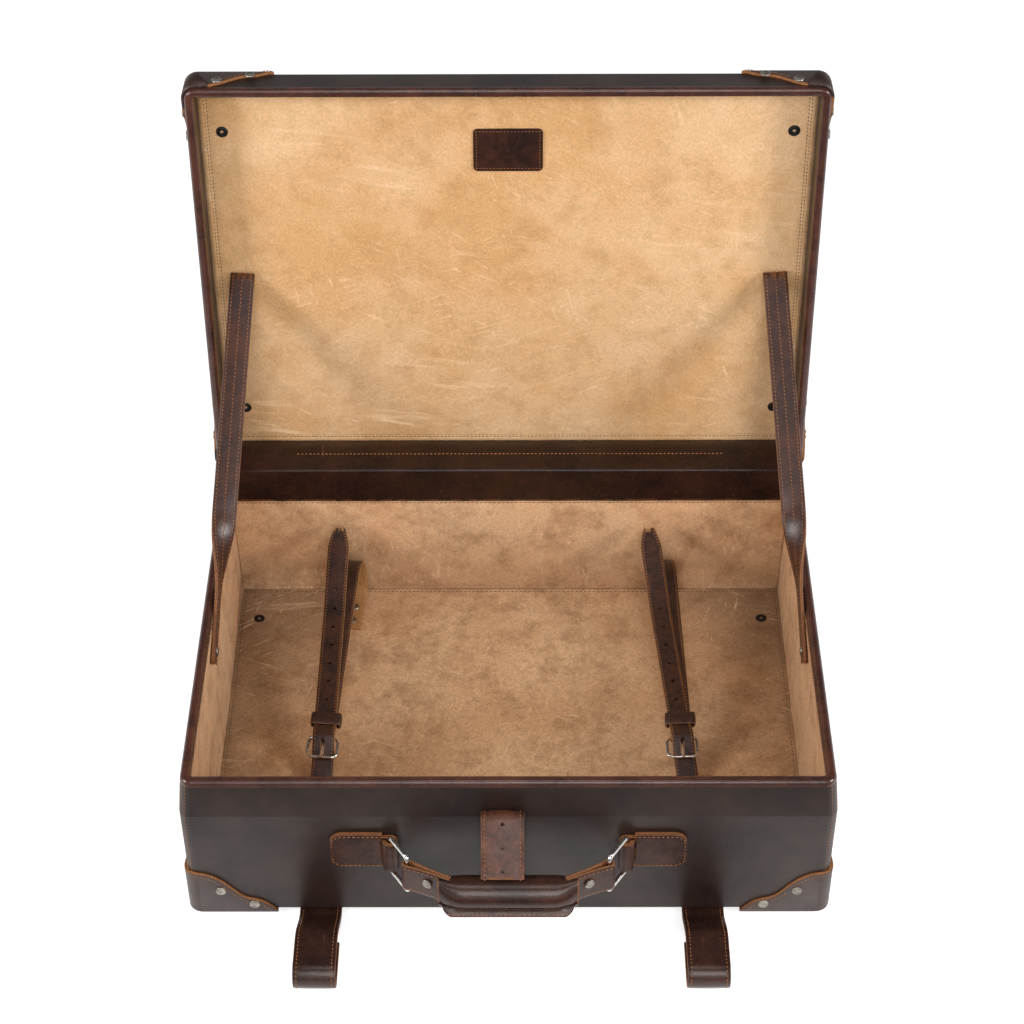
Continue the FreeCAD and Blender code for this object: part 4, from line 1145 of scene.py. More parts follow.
def run_of(
    points: Sequence[Flat], radii: Sequence[float], grow: float, width: float, world: ToWorld,
    step: float = 6.0, tip: Flat = (0.0, 0.0),
) -> List[Station]:
    """Make a strap's stations along a path in the Y and Z plane.

    Args:
        points: the corners of the line on which one face of the strap lies.
        radii: the radius at each inner corner.
        grow: the thickness, to the right of the direction of travel, or to the left if negative.
        width: the strap's width.
        world: turns X, Y, Z in mm into a place in metres.
        step: the spacing on straight runs.
        tip: the width at the very end and the length over which the strap narrows to it.

    Returns:
        The stations, whose upper face is the one away from the line.
    """
    samples = bend(points, radii, step)
    total = 0.0
    runs = [0.0]
    for a, b in zip(samples, samples[1:]):
        total += math.hypot(b[0] - a[0], b[1] - a[1])
        runs.append(total)
    stations = []
    for (y, z, dy, dz), run in zip(samples, runs):
        up_y, up_z = (dz, -dy) if grow > 0 else (-dz, dy)
        half = abs(grow) / 2
        middle = world(0.0, y + up_y * half, z + up_z * half)
        across = (world(1.0, y + up_y * half, z + up_z * half) - middle).normalized()
        outside = world(0.0, y + up_y * (half + 1), z + up_z * (half + 1))
        wide = width
        if tip[1] > 0 and total - run < tip[1]:
            share = 1 - (total - run) / tip[1]
            wide = width + (tip[0] - width) * share
        stations.append(Station.toward(middle, outside, across, wide / 2, half))
    return stations


def moved(shift_x: float) -> ToWorld:
    """Return a map to metres for a piece that is drawn at X = 0 and stands at shift_x."""
    return lambda x, y, z: Vector((x + shift_x, y, z)) * MM


def way_of(world: ToWorld, x: float, y: float, z: float) -> Vector:
    """Return where a direction in a piece's own plan points once the piece is in place."""
    return (world(x, y, z) - world(0, 0, 0)).normalized()


@dataclass
class Peg:
    """What a punched hole takes away, in metres; reach is how far a slot goes each way from its middle."""

    middle: Vector
    axis: Vector
    radius: float
    length: float
    reach: Vector = field(default_factory=Vector)


def punch(made: Object, pegs: Sequence[Peg], name: str) -> Object:
    """Punch round holes and slots through a strap.

    Args:
        made: the strap.
        pegs: the holes, in metres.
        name: the finished piece's name.

    Returns:
        The strap with its holes, as a new object.
    """
    tool = bmesh.new()
    for peg in pegs:
        turn = Vector((0, 0, 1)).rotation_difference(peg.axis).to_matrix().to_4x4()
        place = Matrix.Translation(peg.middle) @ turn
        size = {"radius1": peg.radius, "radius2": peg.radius, "depth": peg.length}
        verts = bmesh.ops.create_cone(tool, cap_ends=True, segments=14, matrix=place, **size)["verts"]
        for vert in verts:
            vert.co += peg.reach * (1 if (vert.co - peg.middle).dot(peg.reach) >= 0 else -1)
    cutter = shaped("punch", tool, Finishes.STRAP, outward=False)
    hole = made.modifiers.new("holes", "BOOLEAN")
    hole.object = cutter
    hole.operation = "DIFFERENCE"
    hole.solver = "EXACT"
    made.name = name + "_blank"
    result = plain(made, name)
    result.data.set_sharp_from_angle(angle=math.radians(50.0))
    bpy.data.objects.remove(cutter)
    return result


@dataclass
class CaseShape:
    """The outer sizes of the case and of the open lid, and where their faces are."""

    width: float = 550.0
    depth: float = 408.0
    rim: float = 162.0
    crease: float = 124.0
    base: float = 4.6
    rim_inset: float = 3.6
    foot_inset: float = 0.8
    wall: float = 9.0
    wall_top: float = 156.0
    floor: float = 16.4
    lining_lean: float = 3.4
    lid_width: float = 552.0
    lid_length: float = 398.4
    lid_wall: float = 8.0
    lid_slope: float = 8.0 / 398.4
    lid_lining_z: float = 196.1
    hinge_y: float = 200.7
    hinge_z: float = 162.2
    open_angle: float = 93.8

    def inset(self, z: float) -> float:
        """Return how far the walls stand in from the full size at a height."""
        if z < self.crease:
            return self.foot_inset * (self.crease - z) / (self.crease - self.base)
        return self.rim_inset * (z - self.crease) / (self.rim - self.crease)

    def inner(self, z: float) -> Flat:
        """Return half the width and half the depth of the room inside at a height."""
        below = max(self.crease - z, 0.0) / (self.crease - self.base)
        total = self.inset(z) + self.wall + self.lining_lean * below
        return self.width / 2 - total, self.depth / 2 - total

    def lid_lining(self, from_hinge: float) -> float:
        """Return the height of the closed lid's lining."""
        return self.lid_lining_z - self.lid_slope * from_hinge

    def lid_point(self, x: float, from_hinge: float, z: float) -> Vector:
        """Return a point of the closed lid, given from its hinge and by height, as the lid stands open."""
        arm = self.lid_way((0, -from_hinge, z - self.hinge_z))
        return Vector((x, arm.y + self.hinge_y, arm.z + self.hinge_z)) * MM

    def lid_way(self, way: Space) -> Vector:
        """Return a direction of the closed lid as the lid stands open."""
        return Matrix.Rotation(math.radians(-self.open_angle), 3, "X") @ Vector(way)


SHAPE = CaseShape()


@dataclass
class Panel:
    """A sheet glued to a wall: sewn down near its edges, a little fuller inside the seam and uneven.

    place turns distances along its width and its height, in mm, into a point of the visible face.
    """

    name: str
    place: Callable[[float, float], Vector]
    size: Flat
    finish: Finishes
    inside: Vector
    seam: float = 4.0
    near_seam: Tuple[float, ...] = (-1.3, 0.0, 1.3, 3.5, 7.5)
    pull_mm: float = 2.2
    fullness: float = 0.5
    uneven: float = 0.35
    wave_mm: float = 45.0
    finer: float = 2.7
    thickness: float = 1.2
    step: float = 7.0

    def marks(self, length: float) -> List[float]:
        """Return the places of the rows of points, which are closer near the edges."""
        edge = [0.0] + [self.seam + off for off in self.near_seam]
        count = max(2, round((length - 2 * edge[-1]) / self.step))
        middle = [edge[-1] + (length - 2 * edge[-1]) * i / count for i in range(1, count)]
        return edge + middle + [length - e for e in reversed(edge)]

    def rise(self, u: float, v: float, point: Vector) -> float:
        """Return how far the face stands above the wall, in mm: least at the seam."""
        edge = min(u, v, self.size[0] - u, self.size[1] - v)
        pulled = math.exp(-((edge - self.seam) / self.pull_mm) ** 2)
        wave = noise.noise(point * per_metre(self.wave_mm))
        wave += 0.5 * noise.noise(point * per_metre(self.wave_mm / self.finer))
        return (self.fullness + self.uneven * wave) * (1 - pulled)

    def facing(self, u: float, v: float) -> Vector:
        """Return the way that the wall faces at a place."""
        along = self.place(u + 1, v) - self.place(u - 1, v)
        way = along.cross(self.place(u, v + 1) - self.place(u, v - 1)).normalized()
        return way if way.dot(self.inside) > 0 else -way

    def mesh(self) -> Object:
        """Build the sheet and return its object."""
        made = bmesh.new()
        across, up = self.marks(self.size[0]), self.marks(self.size[1])
        faces = []
        for depth in (0.0, self.thickness):
            grid = []
            for v in up:
                line = []
                for u in across:
                    point = self.place(u, v)
                    lift = self.rise(u, v, point) if depth == 0.0 else -depth
                    line.append(made.verts.new(point + self.facing(u, v) * (lift * MM)))
                grid.append(line)
            faces.append(grid)
        last_u, last_v = len(across) - 1, len(up) - 1
        for grid in faces:
            for i in range(last_v):
                for j in range(last_u):
                    corners = (grid[i][j], grid[i][j + 1], grid[i + 1][j + 1], grid[i + 1][j])
                    made.faces.new(corners).smooth = True
        rim = [(0, j) for j in range(last_u)] + [(i, last_u) for i in range(last_v)]
        rim += [(last_v, j) for j in range(last_u, 0, -1)] + [(i, 0) for i in range(last_v, 0, -1)]
        for (a, b), (c, d) in zip(rim, rim[1:] + rim[:1]):
            made.faces.new((faces[0][a][b], faces[0][c][d], faces[1][c][d], faces[1][a][b]))
        return shaped(self.name, made, self.finish)


@dataclass
class Body:
    """The case: leather shell on board, suede lining and rolled rim."""

    floor_lap: float = 2.0
    floor_edge: float = 8.6
    floor_seam: float = 4.5
    wall_seam: float = 3.5
    row_end: float = 8.0
    corner_row: float = 5.0
    corner_low: float = 52.0
    corner_step: float = 4.0
    corner_count: int = 27
    outside: Flat = (400.0, 300.0)
    above_floor: float = 100.0
    band_low: float = 129.0

    def build(self) -> None:
        """Dress the CAD nodes and sew the case's seams."""
        dress(Finishes.CASE, "body_shell")
        dress(Finishes.ROLL, "body_rim_roll")
        dress(Finishes.BOARD, "base_board")
        self.linings()
        settle(Seam().sew("body_corner_stitches", self.corner_rows()), "body")
        seam = Seam(Finishes.BROWN_THREAD, pitch=4.2, length=3.0, slant=0.0)
        settle(seam.sew("body_lining_stitches", self.lining_rows()), "body")
        STUD_HEAD.stand_for("base_studs", "base_stud_heads", "body")

    def linings(self) -> None:
        """Make the suede sheets of the floor and the walls; the back one ends under the hinge band."""
        floor = SHAPE.floor
        width, depth = (2 * half + self.floor_lap for half in SHAPE.inner(floor))

        def flat(u: float, v: float) -> Vector:
            return Vector((u - width / 2, v - depth / 2, floor)) * MM

        size, inside = (width, depth), Vector((0, 0, 1))
        sheet = Panel("floor_lining_suede", flat, size, Finishes.FLOOR_SUEDE, inside, seam=self.floor_seam)
        settle(sheet.mesh(), "body", "floor_lining")
        for side, sx, sy in (("left", -1, 0), ("right", 1, 0), ("front", 0, -1), ("back", 0, 1)):
            node = "lining_" + side
            high = self.band_low if side == "back" else SHAPE.wall_top
            size, inside = (depth if sx else width, high - floor), Vector((-sx, -sy, 0))
            place = self.wall_sheet(sx, sy, floor, size[0])
            sheet = Panel(node + "_suede", place, size, Finishes.WALL_SUEDE, inside, seam=self.wall_seam)
            settle(sheet.mesh(), "body", node)

    @staticmethod
    def wall_sheet(sx: int, sy: int, low: float, long: float) -> Callable[[float, float], Vector]:
        """Return the map from distances along and up a wall to its inner face.

        Args:
            sx: -1 or 1 for the left or the right wall, else 0.
            sy: -1 or 1 for the front or the back wall, else 0.
            low: the height at which the sheet starts.
            long: the length that is spread over the wall.

        Returns:
            The map, from mm to metres.
        """

        def place(u: float, v: float) -> Vector:
            half_x, half_y = SHAPE.inner(low + v)
            share = 2 * u / long - 1
            return Vector(((sx or share) * half_x, (sy or share) * half_y, low + v)) * MM

        return place

    def corner_rows(self) -> List[Row]:
        """Return the seams that run up both sides of each upright corner."""
        shell = skin_of("body_shell")
        heights = [self.corner_low + i * self.corner_step for i in range(self.corner_count)]
        near = [SHAPE.inset(z) + self.corner_row for z in heights]
        far_x, far_y = self.outside
        rows = []
        for sx in (-1, 1):
            for sy in (-1, 1):
                line = [(sx * (SHAPE.width / 2 - n), sy * far_y, z) for n, z in zip(near, heights)]
                rows.append(drape(shell, [Vector(p) * MM for p in line], Vector((0, -sy, 0))))
                line = [(sx * far_x, sy * (SHAPE.depth / 2 - n), z) for n, z in zip(near, heights)]
                rows.append(drape(shell, [Vector(p) * MM for p in line], Vector((-sx, 0, 0))))
        return rows

    def lining_rows(self) -> List[Row]:
        """Return the seams round the floor and along the top of each lining."""
        rows = []
        low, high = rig.box("floor_lining")
        edge, above, end = self.floor_edge * MM, self.above_floor * MM, self.row_end * MM
        floor = skin_of("floor_lining")
        for a, b in sides_of((low.x + edge, low.y + edge), (high.x - edge, high.y - edge)):
            rows.append(drape(floor, span(Vector((*a, above)), Vector((*b, above))), Vector((0, 0, -1))))
        for side, way in (("front", (0, -1)), ("back", (0, 1)), ("left", (-1, 0)), ("right", (1, 0))):
            node = "lining_" + side
            low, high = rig.box(node)
            z = high.z - self.wall_seam * MM
            if way[0] == 0:
                line = span(Vector((low.x + end, 0, z)), Vector((high.x - end, 0, z)))
            else:
                line = span(Vector((0, low.y + end, z)), Vector((0, high.y - end, z)))
            rows.append(drape(skin_of(node), line, Vector((*way, 0))))
        return rows


@dataclass
class Lid:
    """The lid: leather shell, suede lining with a turned edge, rolled rim and bare patch."""

    edge: float = 5.0
    seam_gap: float = 2.4
    band_thick: float = 1.4
    inside_z: float = 180.0
    label_middle: float = 326.4
    label_seam: Flat = (27.8, 18.3)

    def build(self) -> None:
        """Dress the CAD nodes and sew the lid's seams."""
        dress(Finishes.CASE, "lid_shell")
        dress(Finishes.ROLL, "lid_rim_roll")
        dress(Finishes.TAB, "lid_label_patch")
        self.sheet()
        STUD_HEAD.stand_for("lid_studs", "lid_stud_heads", "lid")
        seam = Seam(Finishes.BROWN_THREAD, pitch=3.6, length=2.6, slant=0.0)
        settle(seam.sew("lid_lining_stitches", self.lining_rows()), "lid")
        x, y = self.label_seam
        low, high = (-x, self.label_middle - y), (x, self.label_middle + y)
        rows = self.frame_rows("lid_label_patch", low, high, step=3.0)
        settle(Seam(pitch=3.0, length=2.1, thickness=0.65).sew("label_stitches", rows), "lid")

    def sheet(self) -> None:
        """Make the suede lining of the panel."""
        half = SHAPE.lid_width / 2 - SHAPE.lid_wall
        near, far = SHAPE.lid_wall, SHAPE.lid_length - SHAPE.lid_wall

        def lining(u: float, v: float) -> Vector:
            return SHAPE.lid_point(u - half, near + v, SHAPE.lid_lining(near + v))

        size, inside = (2 * half, far - near), SHAPE.lid_way((0, 0, -1))
        seam = self.edge + self.seam_gap / 2
        sheet = Panel("lid_lining_suede", lining, size, Finishes.LID_SUEDE, inside, seam=seam)
        settle(sheet.mesh(), "lid", "lid_lining")

    def lining_rows(self) -> List[Row]:
        """Return the double seam inside the lining's edges."""
        rows = []
        for inset in (self.edge, self.edge + self.seam_gap):
            half = SHAPE.lid_width / 2 - SHAPE.lid_wall - inset
            near = SHAPE.lid_wall + self.band_thick + inset
            far = SHAPE.lid_length - SHAPE.lid_wall - inset
            rows += self.frame_rows("lid_lining", (-half, near), (half, far), step=4.0)
        return rows

    def frame_rows(self, node: str, low: Flat, high: Flat, step: float) -> List[Row]:
        """Return lines along the sides of a rectangle on a sheet of the lid.

        Args:
            node: the CAD node of the sheet.
            low: X and the distance from the hinge of one corner.
            high: the same of the corner across from it.
            step: the spacing of the points.

        Returns:
            A row for each side.
        """
        skin = skin_of(node)
        rows = []
        for ends in sides_of(low, high):
            first, last = (SHAPE.lid_point(*end, self.inside_z) for end in ends)
            rows.append(drape(skin, span(first, last, step), SHAPE.lid_way((0, 0, 1))))
        return rows


@dataclass
class CornerCaps:
    """Riveted leather caps on the corners, with raw ogee edges and a seam inside them."""

    inset: float = 3.2
    raw_lean: float = 0.35
    turn: float = math.radians(20.0)
    spacing: float = 0.8
    fewest: int = 4
    corners: Tuple[str, ...] = ("front_left", "front_right", "back_left", "back_right")

    def build(self) -> None:
        """Make the caps of the case and of the lid with their seams and rivets."""
        for body in ("body", "lid"):
            skin = skin_of(body + "_shell")
            rows: List[Row] = []
            for corner in self.corners:
                node = body + "_cap_" + corner
                cap, lines = self.cap(node, skin)
                settle(cap, body, node)
                rows.extend(part for line in lines for part in self.runs(line))
            settle(Seam(pitch=3.2, length=2.3).sew(body + "_cap_stitches", rows), body)
            RIVET_HEAD.stand_for(body + "_cap_rivets", body + "_cap_rivets_set", body)

    def cap(self, node: str, skin: BVHTree) -> Tuple[Object, List[Row]]:
        """Make one cap from its CAD solid.

        Args:
            node: the CAD node.
            skin: the shell that the cap lies on.

        Returns:
            The cap, and the lines of its seam.
        """
        made = bmesh.new()
        made.from_mesh(frame["nodes"][node].data)
        bmesh.ops.remove_doubles(made, verts=made.verts, dist=2e-6)
        lean = {f: skin.find_nearest(f.calc_center_median())[1].dot(f.normal) for f in made.faces}
        raw = {f for f in made.faces if abs(lean[f]) < self.raw_lean}
        lines = self.seams(made, lean)
        cut = made.verts.layers.float.new("cut")
        borders = [e for e in made.edges if len({f in raw for f in e.link_faces}) == 2]
        bmesh.ops.split_edges(made, edges=borders)
        for face in made.faces:
            face.material_index = 0
            face.smooth = face not in raw
        for face in raw:
            for vert in face.verts:
                vert[cut] = 1.0
        return shaped(node + "_leather", made, Finishes.CAP, outward=False), lines

    def runs(self, line: Row) -> List[Row]:
        """Part a seam where it turns onto another wall, and keep its stitches clear of those edges."""
        parts = [Row()]
        for point, facing in zip(line.points, line.facing):
            if parts[-1].facing and parts[-1].facing[-1].angle(facing) > self.turn:
                parts.append(Row())
            parts[-1].put(point, facing)
        kept = []
        clear = self.inset * MM
        for part in parts:
            first, last = part.points[0], part.points[-1]
            shorter = Row()
            for point, facing in zip(part.points, part.facing):
                if min((point - first).length, (point - last).length) > clear:
                    shorter.put(point, facing)
            if len(shorter.points) >= self.fewest:
                kept.append(shorter)
        return kept

    def seams(self, made: BMesh, lean: Dict[bmesh.types.BMFace, float]) -> List[Row]:
        """Follow the raw edge on the cap's outer side and move it inwards.

        Args:
            made: the cap's merged mesh.
            lean: how far each face looks away from the shell, 1 on the outer side and 0 on the raw edge.

        Returns:
            Lines on the cap's outer side.
        """
        inner: Dict[int, Vector] = {}
        outer: Dict[int, Vector] = {}
        links: Dict[int, List[int]] = {}
        places: Dict[int, Vector] = {}
        for edge in made.edges:
            if len(edge.link_faces) != 2:
                continue
            sides = [f for f in edge.link_faces if abs(lean[f]) < self.raw_lean]
            faces = [f for f in edge.link_faces if lean[f] >= self.raw_lean]
            if len(sides) != 1 or len(faces) != 1:
                continue
            a, b = edge.verts
            for vert in (a, b):
                places[vert.index] = vert.co.copy()
                inner[vert.index] = inner.get(vert.index, Vector()) - sides[0].normal
                outer[vert.index] = outer.get(vert.index, Vector()) + faces[0].normal
            links.setdefault(a.index, []).append(b.index)
            links.setdefault(b.index, []).append(a.index)
        rows = []
        seen = set()
        for start in sorted(links, key=lambda i: len(links[i])):
            if start in seen:
                continue
            chain, here = [], start
            while here is not None:
                seen.add(here)
                chain.append(here)
                here = next((n for n in links[here] if n not in seen), None)
            row = Row()
            for index in chain:
                facing = outer[index].normalized()
                inward = inner[index] - facing * inner[index].dot(facing)
                point = places[index] + inward.normalized() * (self.inset * MM)
                if not row.points or (point - row.points[-1]).length > self.spacing * MM:
                    row.put(point, facing)
            rows.append(row)
        return rows


@dataclass
class Belts:
    """Two belts under the case with a loop on the ground, and a centre belt that ends on the handle."""

    width: float = 36.0
    thickness: float = 4.6
    seam: float = 3.2
    places: Flat = (-162.5, 167.5)
    loop_path: Tuple[Flat, ...] = (
        (187.0, 0.0), (-211.0, 0.0), (-246.0, 22.0), (-287.4, 22.0), (-287.4, 4.6), (-239.4, 4.6),
    )
    loop_bends: Tuple[float, ...] = (30.0, 30.0, 8.5, 8.5)
    back: float = 187.0
    centre_x: float = -4.6
    wall: float = -204.8
    join: float = 112.5
    top: float = 140.5
    bend: float = 4.0
    rest: Flat = (-247.042, 95.3)
    hole_radius: float = 1.7
    hole_length: float = 12.0
    hole_shares: Tuple[float, ...] = (0.22, 0.55, 0.88)

    def build(self) -> None:
        """Make the belts with their seams."""
        for side, x in zip(("left", "right"), self.places):
            stations = run_of(self.loop_path, self.loop_bends, self.thickness, self.width, moved(x), step=7.0)
            look = {"finish": Finishes.POLISHED, "plies": 2, "crown": 0.35, "wrinkle": 0.25}
            self.lay("belt_" + side, Strap("belt_" + side + "_leather", stations, **look))
        path = ((self.back, self.thickness), (self.wall, self.thickness), (self.wall, self.join))
        world = moved(self.centre_x)
        stations = run_of(path, (self.bend,), -self.thickness, self.width, world, step=8.0)
        self.lay("belt_centre", Strap("belt_centre_leather", stations, Finishes.BELT, plies=2, crown=0.3))
        self.tip()

    def lay(self, node: str, belt: Strap) -> None:
        """Make a belt that lies still, with its seams."""
        settle(belt.mesh(), "body", node)
        settle(Seam().sew(node + "_stitches", belt.edge_rows(self.seam)), "body")

    def tip(self) -> None:
        """Make the tip of the centre belt, which bends with the handle."""
        face = self.wall - self.thickness
        path = ((face, self.join), (face, self.top), self.rest)
        stations = run_of(path, (self.bend,), self.thickness, self.width, moved(self.centre_x), step=3.0)
        tip = Strap("belt_centre_tip_leather", stations, Finishes.BELT, plies=2, crown=0.9, wrinkle=0.9)
        fold = Vector((self.centre_x, face, self.top)) * MM
        end = Vector((self.centre_x, *self.rest)) * MM
        axis = stations[-2].up
        lift = axis * (self.thickness / 2 * MM)
        size = (self.hole_radius * MM, self.hole_length * MM)
        pegs = [Peg(fold.lerp(end, share) + lift, axis, *size) for share in self.hole_shares]
        bodies = ("body", "handle")
        stretch(punch(tip.mesh(), pegs, tip.name), bodies, fold, end, "belt_centre_tip")
        sewn = Seam().sew("belt_centre_tip_stitches", tip.edge_rows(self.seam))
        stretch(sewn, bodies, fold, end)


@dataclass
class PackingStrap:
    """One packing strap: a strap with holes through a wire buckle, its chape and a sliding keeper."""

    side: str
    shift: float
    strap_skew: float
    chape_skew: float
    width: float = 20.0
    thickness: float = 2.6
    seam: float = 1.9
    tilt: float = math.radians(13.0)
    buckle_y: float = -42.0
    buckle_z: float = 37.0
    crossing: float = 14.0
    floor: float = 16.4
    off_floor: float = 0.2
    strap_foot: Flat = (-169.0, -82.0)
    through_buckle: Tuple[Flat, ...] = ((-6.0, -4.6), (8.0, 4.5), (12.0, 4.5), (21.0, 1.6))
    strap_crest: float = 101.0
    strap_end: Flat = (181.0, 88.0)
    strap_bends: Tuple[float, ...] = (40.0, 18.0, 5.0, 5.0, 14.0, 160.0)
    strap_tip: Flat = (11.0, 18.0)
    first_hole: float = 48.0
    hole_pitch: float = 20.0
    hole_middle: float = 2.9
    hole_radius: float = 1.7
    hole_length: float = 14.0
    holes: int = 7
    slot_radius: float = 1.85
    strap_slot: Space = (0.0, 5.0, 20.0)
    chape_slot: Space = (8.5, 13.0, 14.0)
    chape: float = 2.2
    chape_start: Flat = (11.8, -1.1)
    chape_end: float = 134.0
    chape_bends: Flat = (38.0, 13.0)
    back_wall: float = 187.8
    bar: float = 10.0
    loop_radius: float = 2.9
    loop_start: float = -25.0
    loop_step: float = 17.0
    loop_count: int = 19
    keeper_along: float = 28.0
    keeper_room: float = 2.4
    keeper_low: float = -1.6
    keeper_high: float = 4.7
    keeper_wall: float = 1.6
    keeper_width: float = 12.0
    keeper_bend: float = 0.9
    keeper_cut: float = 0.01

    def world(self, skew: float) -> ToWorld:
        """Return the map to metres for a piece turned by skew about the buckle's crossing."""
        turn = Matrix.Rotation(math.radians(skew), 3, "Z")
        pivot = Vector((0, self.buckle_y + self.crossing, 0))
        shift = Vector((self.shift, 0, 0))
        return lambda x, y, z: (turn @ (Vector((x, y, z)) - pivot) + pivot + shift) * MM

    def on_buckle(self, along: float, up: float) -> Flat:
        """Return Y and Z of a point given along and above the middle of the buckle."""
        y = self.buckle_y + along * math.cos(self.tilt) - up * math.sin(self.tilt)
        z = self.buckle_z + along * math.sin(self.tilt) + up * math.cos(self.tilt)
        return y, z

    def slot(self, axis: Vector, middle: float, end: float, length: float) -> Peg:
        """Return the slot that the prong goes through, by two places along the buckle and a length."""
        world = self.world(self.chape_skew)
        first, last = (world(0, *self.on_buckle(along, 0.0)) for along in (middle, end))
        return Peg(first, axis, self.slot_radius * MM, length * MM, last - first)

    def build(self) -> None:
        """Make the strap, the chape, the keeper and their seams, and dress the buckle."""
        dress(Finishes.WIRE, "packing_buckle_" + self.side, "packing_prong_" + self.side)
        self.hole_strap()
        self.chape_strap()
        self.keeper()

    def hole_strap(self) -> None:
        """Make the strap with holes, from the floor through the buckle to its tip."""
        node = "packing_strap_" + self.side
        world = self.world(self.strap_skew)
        path = [(y, self.floor + self.off_floor) for y in self.strap_foot]
        path += [self.on_buckle(*place) for place in self.through_buckle]
        crest = (self.strap_crest - self.buckle_y) / math.cos(self.tilt)
        path.append(self.on_buckle(crest, self.through_buckle[-1][1]))
        path.append((self.strap_end[0], self.floor + self.strap_end[1]))
        size = (-self.thickness, self.width)
        stations = run_of(path, self.strap_bends, *size, world, step=5.0, tip=self.strap_tip)
        look = {"finish": Finishes.PACKING, "crown": 0.2, "wrinkle": 0.3, "flesh_below": True}
        strap = Strap(node + "_leather", stations, **look)
        axis = way_of(world, 0, -math.sin(self.tilt), math.cos(self.tilt))
        pegs = []
        for index in range(self.holes):
            along = self.first_hole + index * self.hole_pitch
            middle = world(0, *self.on_buckle(along, self.hole_middle))
            pegs.append(Peg(middle, axis, self.hole_radius * MM, self.hole_length * MM))
        pegs.append(self.slot(axis, *self.strap_slot))
        settle(punch(strap.mesh(), pegs, strap.name), "body", node)
        settle(WHIP.sew(node + "_stitches", strap.edge_rows(self.seam)), "body")

    def chape_strap(self) -> None:
        """Make the chape that loops round the buckle's bar and is riveted to the floor."""
        node = "packing_chape_" + self.side
        world = self.world(self.chape_skew)
        back = self.back_wall - self.chape
        top = self.floor + self.off_floor + self.chape
        start = self.on_buckle(*self.chape_start)
        peak = (back, start[1] + (back - start[0]) * math.tan(self.tilt))
        path = (start, peak, (back, top), (self.chape_end, top))
        leg = run_of(path, self.chape_bends, -self.chape, self.width, world, step=6.0)
        loop = []
        for step in range(self.loop_count):
            angle = math.radians(self.loop_start - step * self.loop_step)
            middle, outside = (
                world(0, *self.on_buckle(self.bar + r * math.cos(angle), r * math.sin(angle)))
                for r in (self.loop_radius, self.loop_radius + self.chape / 2)
            )
            size = (self.width / 2, self.chape / 2)
            loop.append(Station.toward(middle, outside, leg[0].across, *size))
        look = {"finish": Finishes.PACKING, "crown": 0.15, "wrinkle": 0.25, "flesh_below": True}
        strap = Strap(node + "_leather", loop + leg[1:], **look)
        slot = self.slot(leg[0].up, *self.chape_slot)
        settle(punch(strap.mesh(), [slot], strap.name), "body", node)
        foot = Strap("foot", leg[1:], crown=0.15)
        settle(WHIP.sew(node + "_stitches", foot.edge_rows(self.seam)), "body")

    def keeper(self) -> None:
        """Make the keeper, a closed loop of thin strap."""
        node = "packing_keeper_" + self.side
        world = self.world(self.chape_skew)
        half = self.width / 2 + self.keeper_room
        low, high, wall = self.keeper_low, self.keeper_high, self.keeper_wall
        path = [(half, 0.0), (half, high), (-half, high), (-half, low), (half, low)]
        path.append((half, -self.keeper_cut))
        along = way_of(world, 0, math.cos(self.tilt), math.sin(self.tilt))
        stations = []
        for x, up, dx, dup in bend(path, (self.keeper_bend,) * 4, step=3.0)[:-1]:
            middle, outside = (
                world(x + dup * off, *self.on_buckle(self.keeper_along, up - dx * off))
                for off in (wall / 2, wall)
            )
            stations.append(Station.toward(middle, outside, along, self.keeper_width / 2, wall / 2))
        look = {"finish": Finishes.PACKING, "crown": 0.4, "wrinkle": 0.15, "rounding": 0.5}
        keeper = Strap(node + "_leather", stations, **look, closed=True, columns=6)
        settle(keeper.mesh(), "keeper_" + self.side, node)


@dataclass
class Stays:
    """Two straps that hold the lid, each riveted to a side wall and twisted up to the lid."""

    width: float = 22.0
    thickness: float = 3.4
    low: Space = (262.29, -21.0, 123.0)
    rim: Space = (259.7, 25.0, 162.0)
    lid: Space = (241.0, 200.0, 189.68)
    seam: float = 2.6
    twist: float = 90.0
    twist_over: float = 0.34
    wall_stations: int = 12
    stations: int = 40

    def build(self) -> None:
        """Make both stays with their seams and rivets."""
        for side, sx in (("left", -1), ("right", 1)):
            node = "lid_stay_" + side
            start = Vector((sx * self.rim[0], *self.rim[1:])) * MM
            end = SHAPE.lid_point(sx * self.lid[0], *self.lid[1:])
            stations = self.path(sx, start, end)
            stay = Strap(node + "_leather", stations, plies=2, crown=0.3, wrinkle=0.2)
            stretch(stay.mesh(), ("body", "lid"), start, end, node)
            rows = [stay.row(self.seam, s, above) for s in (-1, 1) for above in (True, False)]
            rows += [stay.row(self.width / 2, 1, above) for above in (True, False)]
            sewn = Seam(pitch=3.4, length=2.6, slant=25.0).sew(node + "_stitches", rows)
            stretch(sewn, ("body", "lid"), start, end)
        RIVET_HEAD.stand_for("stay_rivets", "stay_rivet_heads", "body")

    def path(self, sx: int, rim: Vector, high: Vector) -> List[Station]:
        """Return a stay's stations from the side wall over the rim up to the lid."""
        low = Vector((sx * self.low[0], *self.low[1:])) * MM
        along = (high - rim).normalized()
        flat = (Vector((1, 0, 0)) - along * along.x).normalized()
        places = [(low.lerp(rim, i / self.wall_stations), 0.0) for i in range(self.wall_stations)]
        for i in range(self.stations + 1):
            share = i / self.stations
            turned = min(1.0, share / self.twist_over)
            places.append((rim.lerp(high, share), sx * self.twist * turned * turned * (3 - 2 * turned)))
        result = []
        for middle, twist in places:
            up = Matrix.Rotation(math.radians(twist), 3, along) @ flat
            across = along.cross(up).normalized()
            result.append(Station(middle, across, up, self.width / 2, self.thickness / 2))
        return result


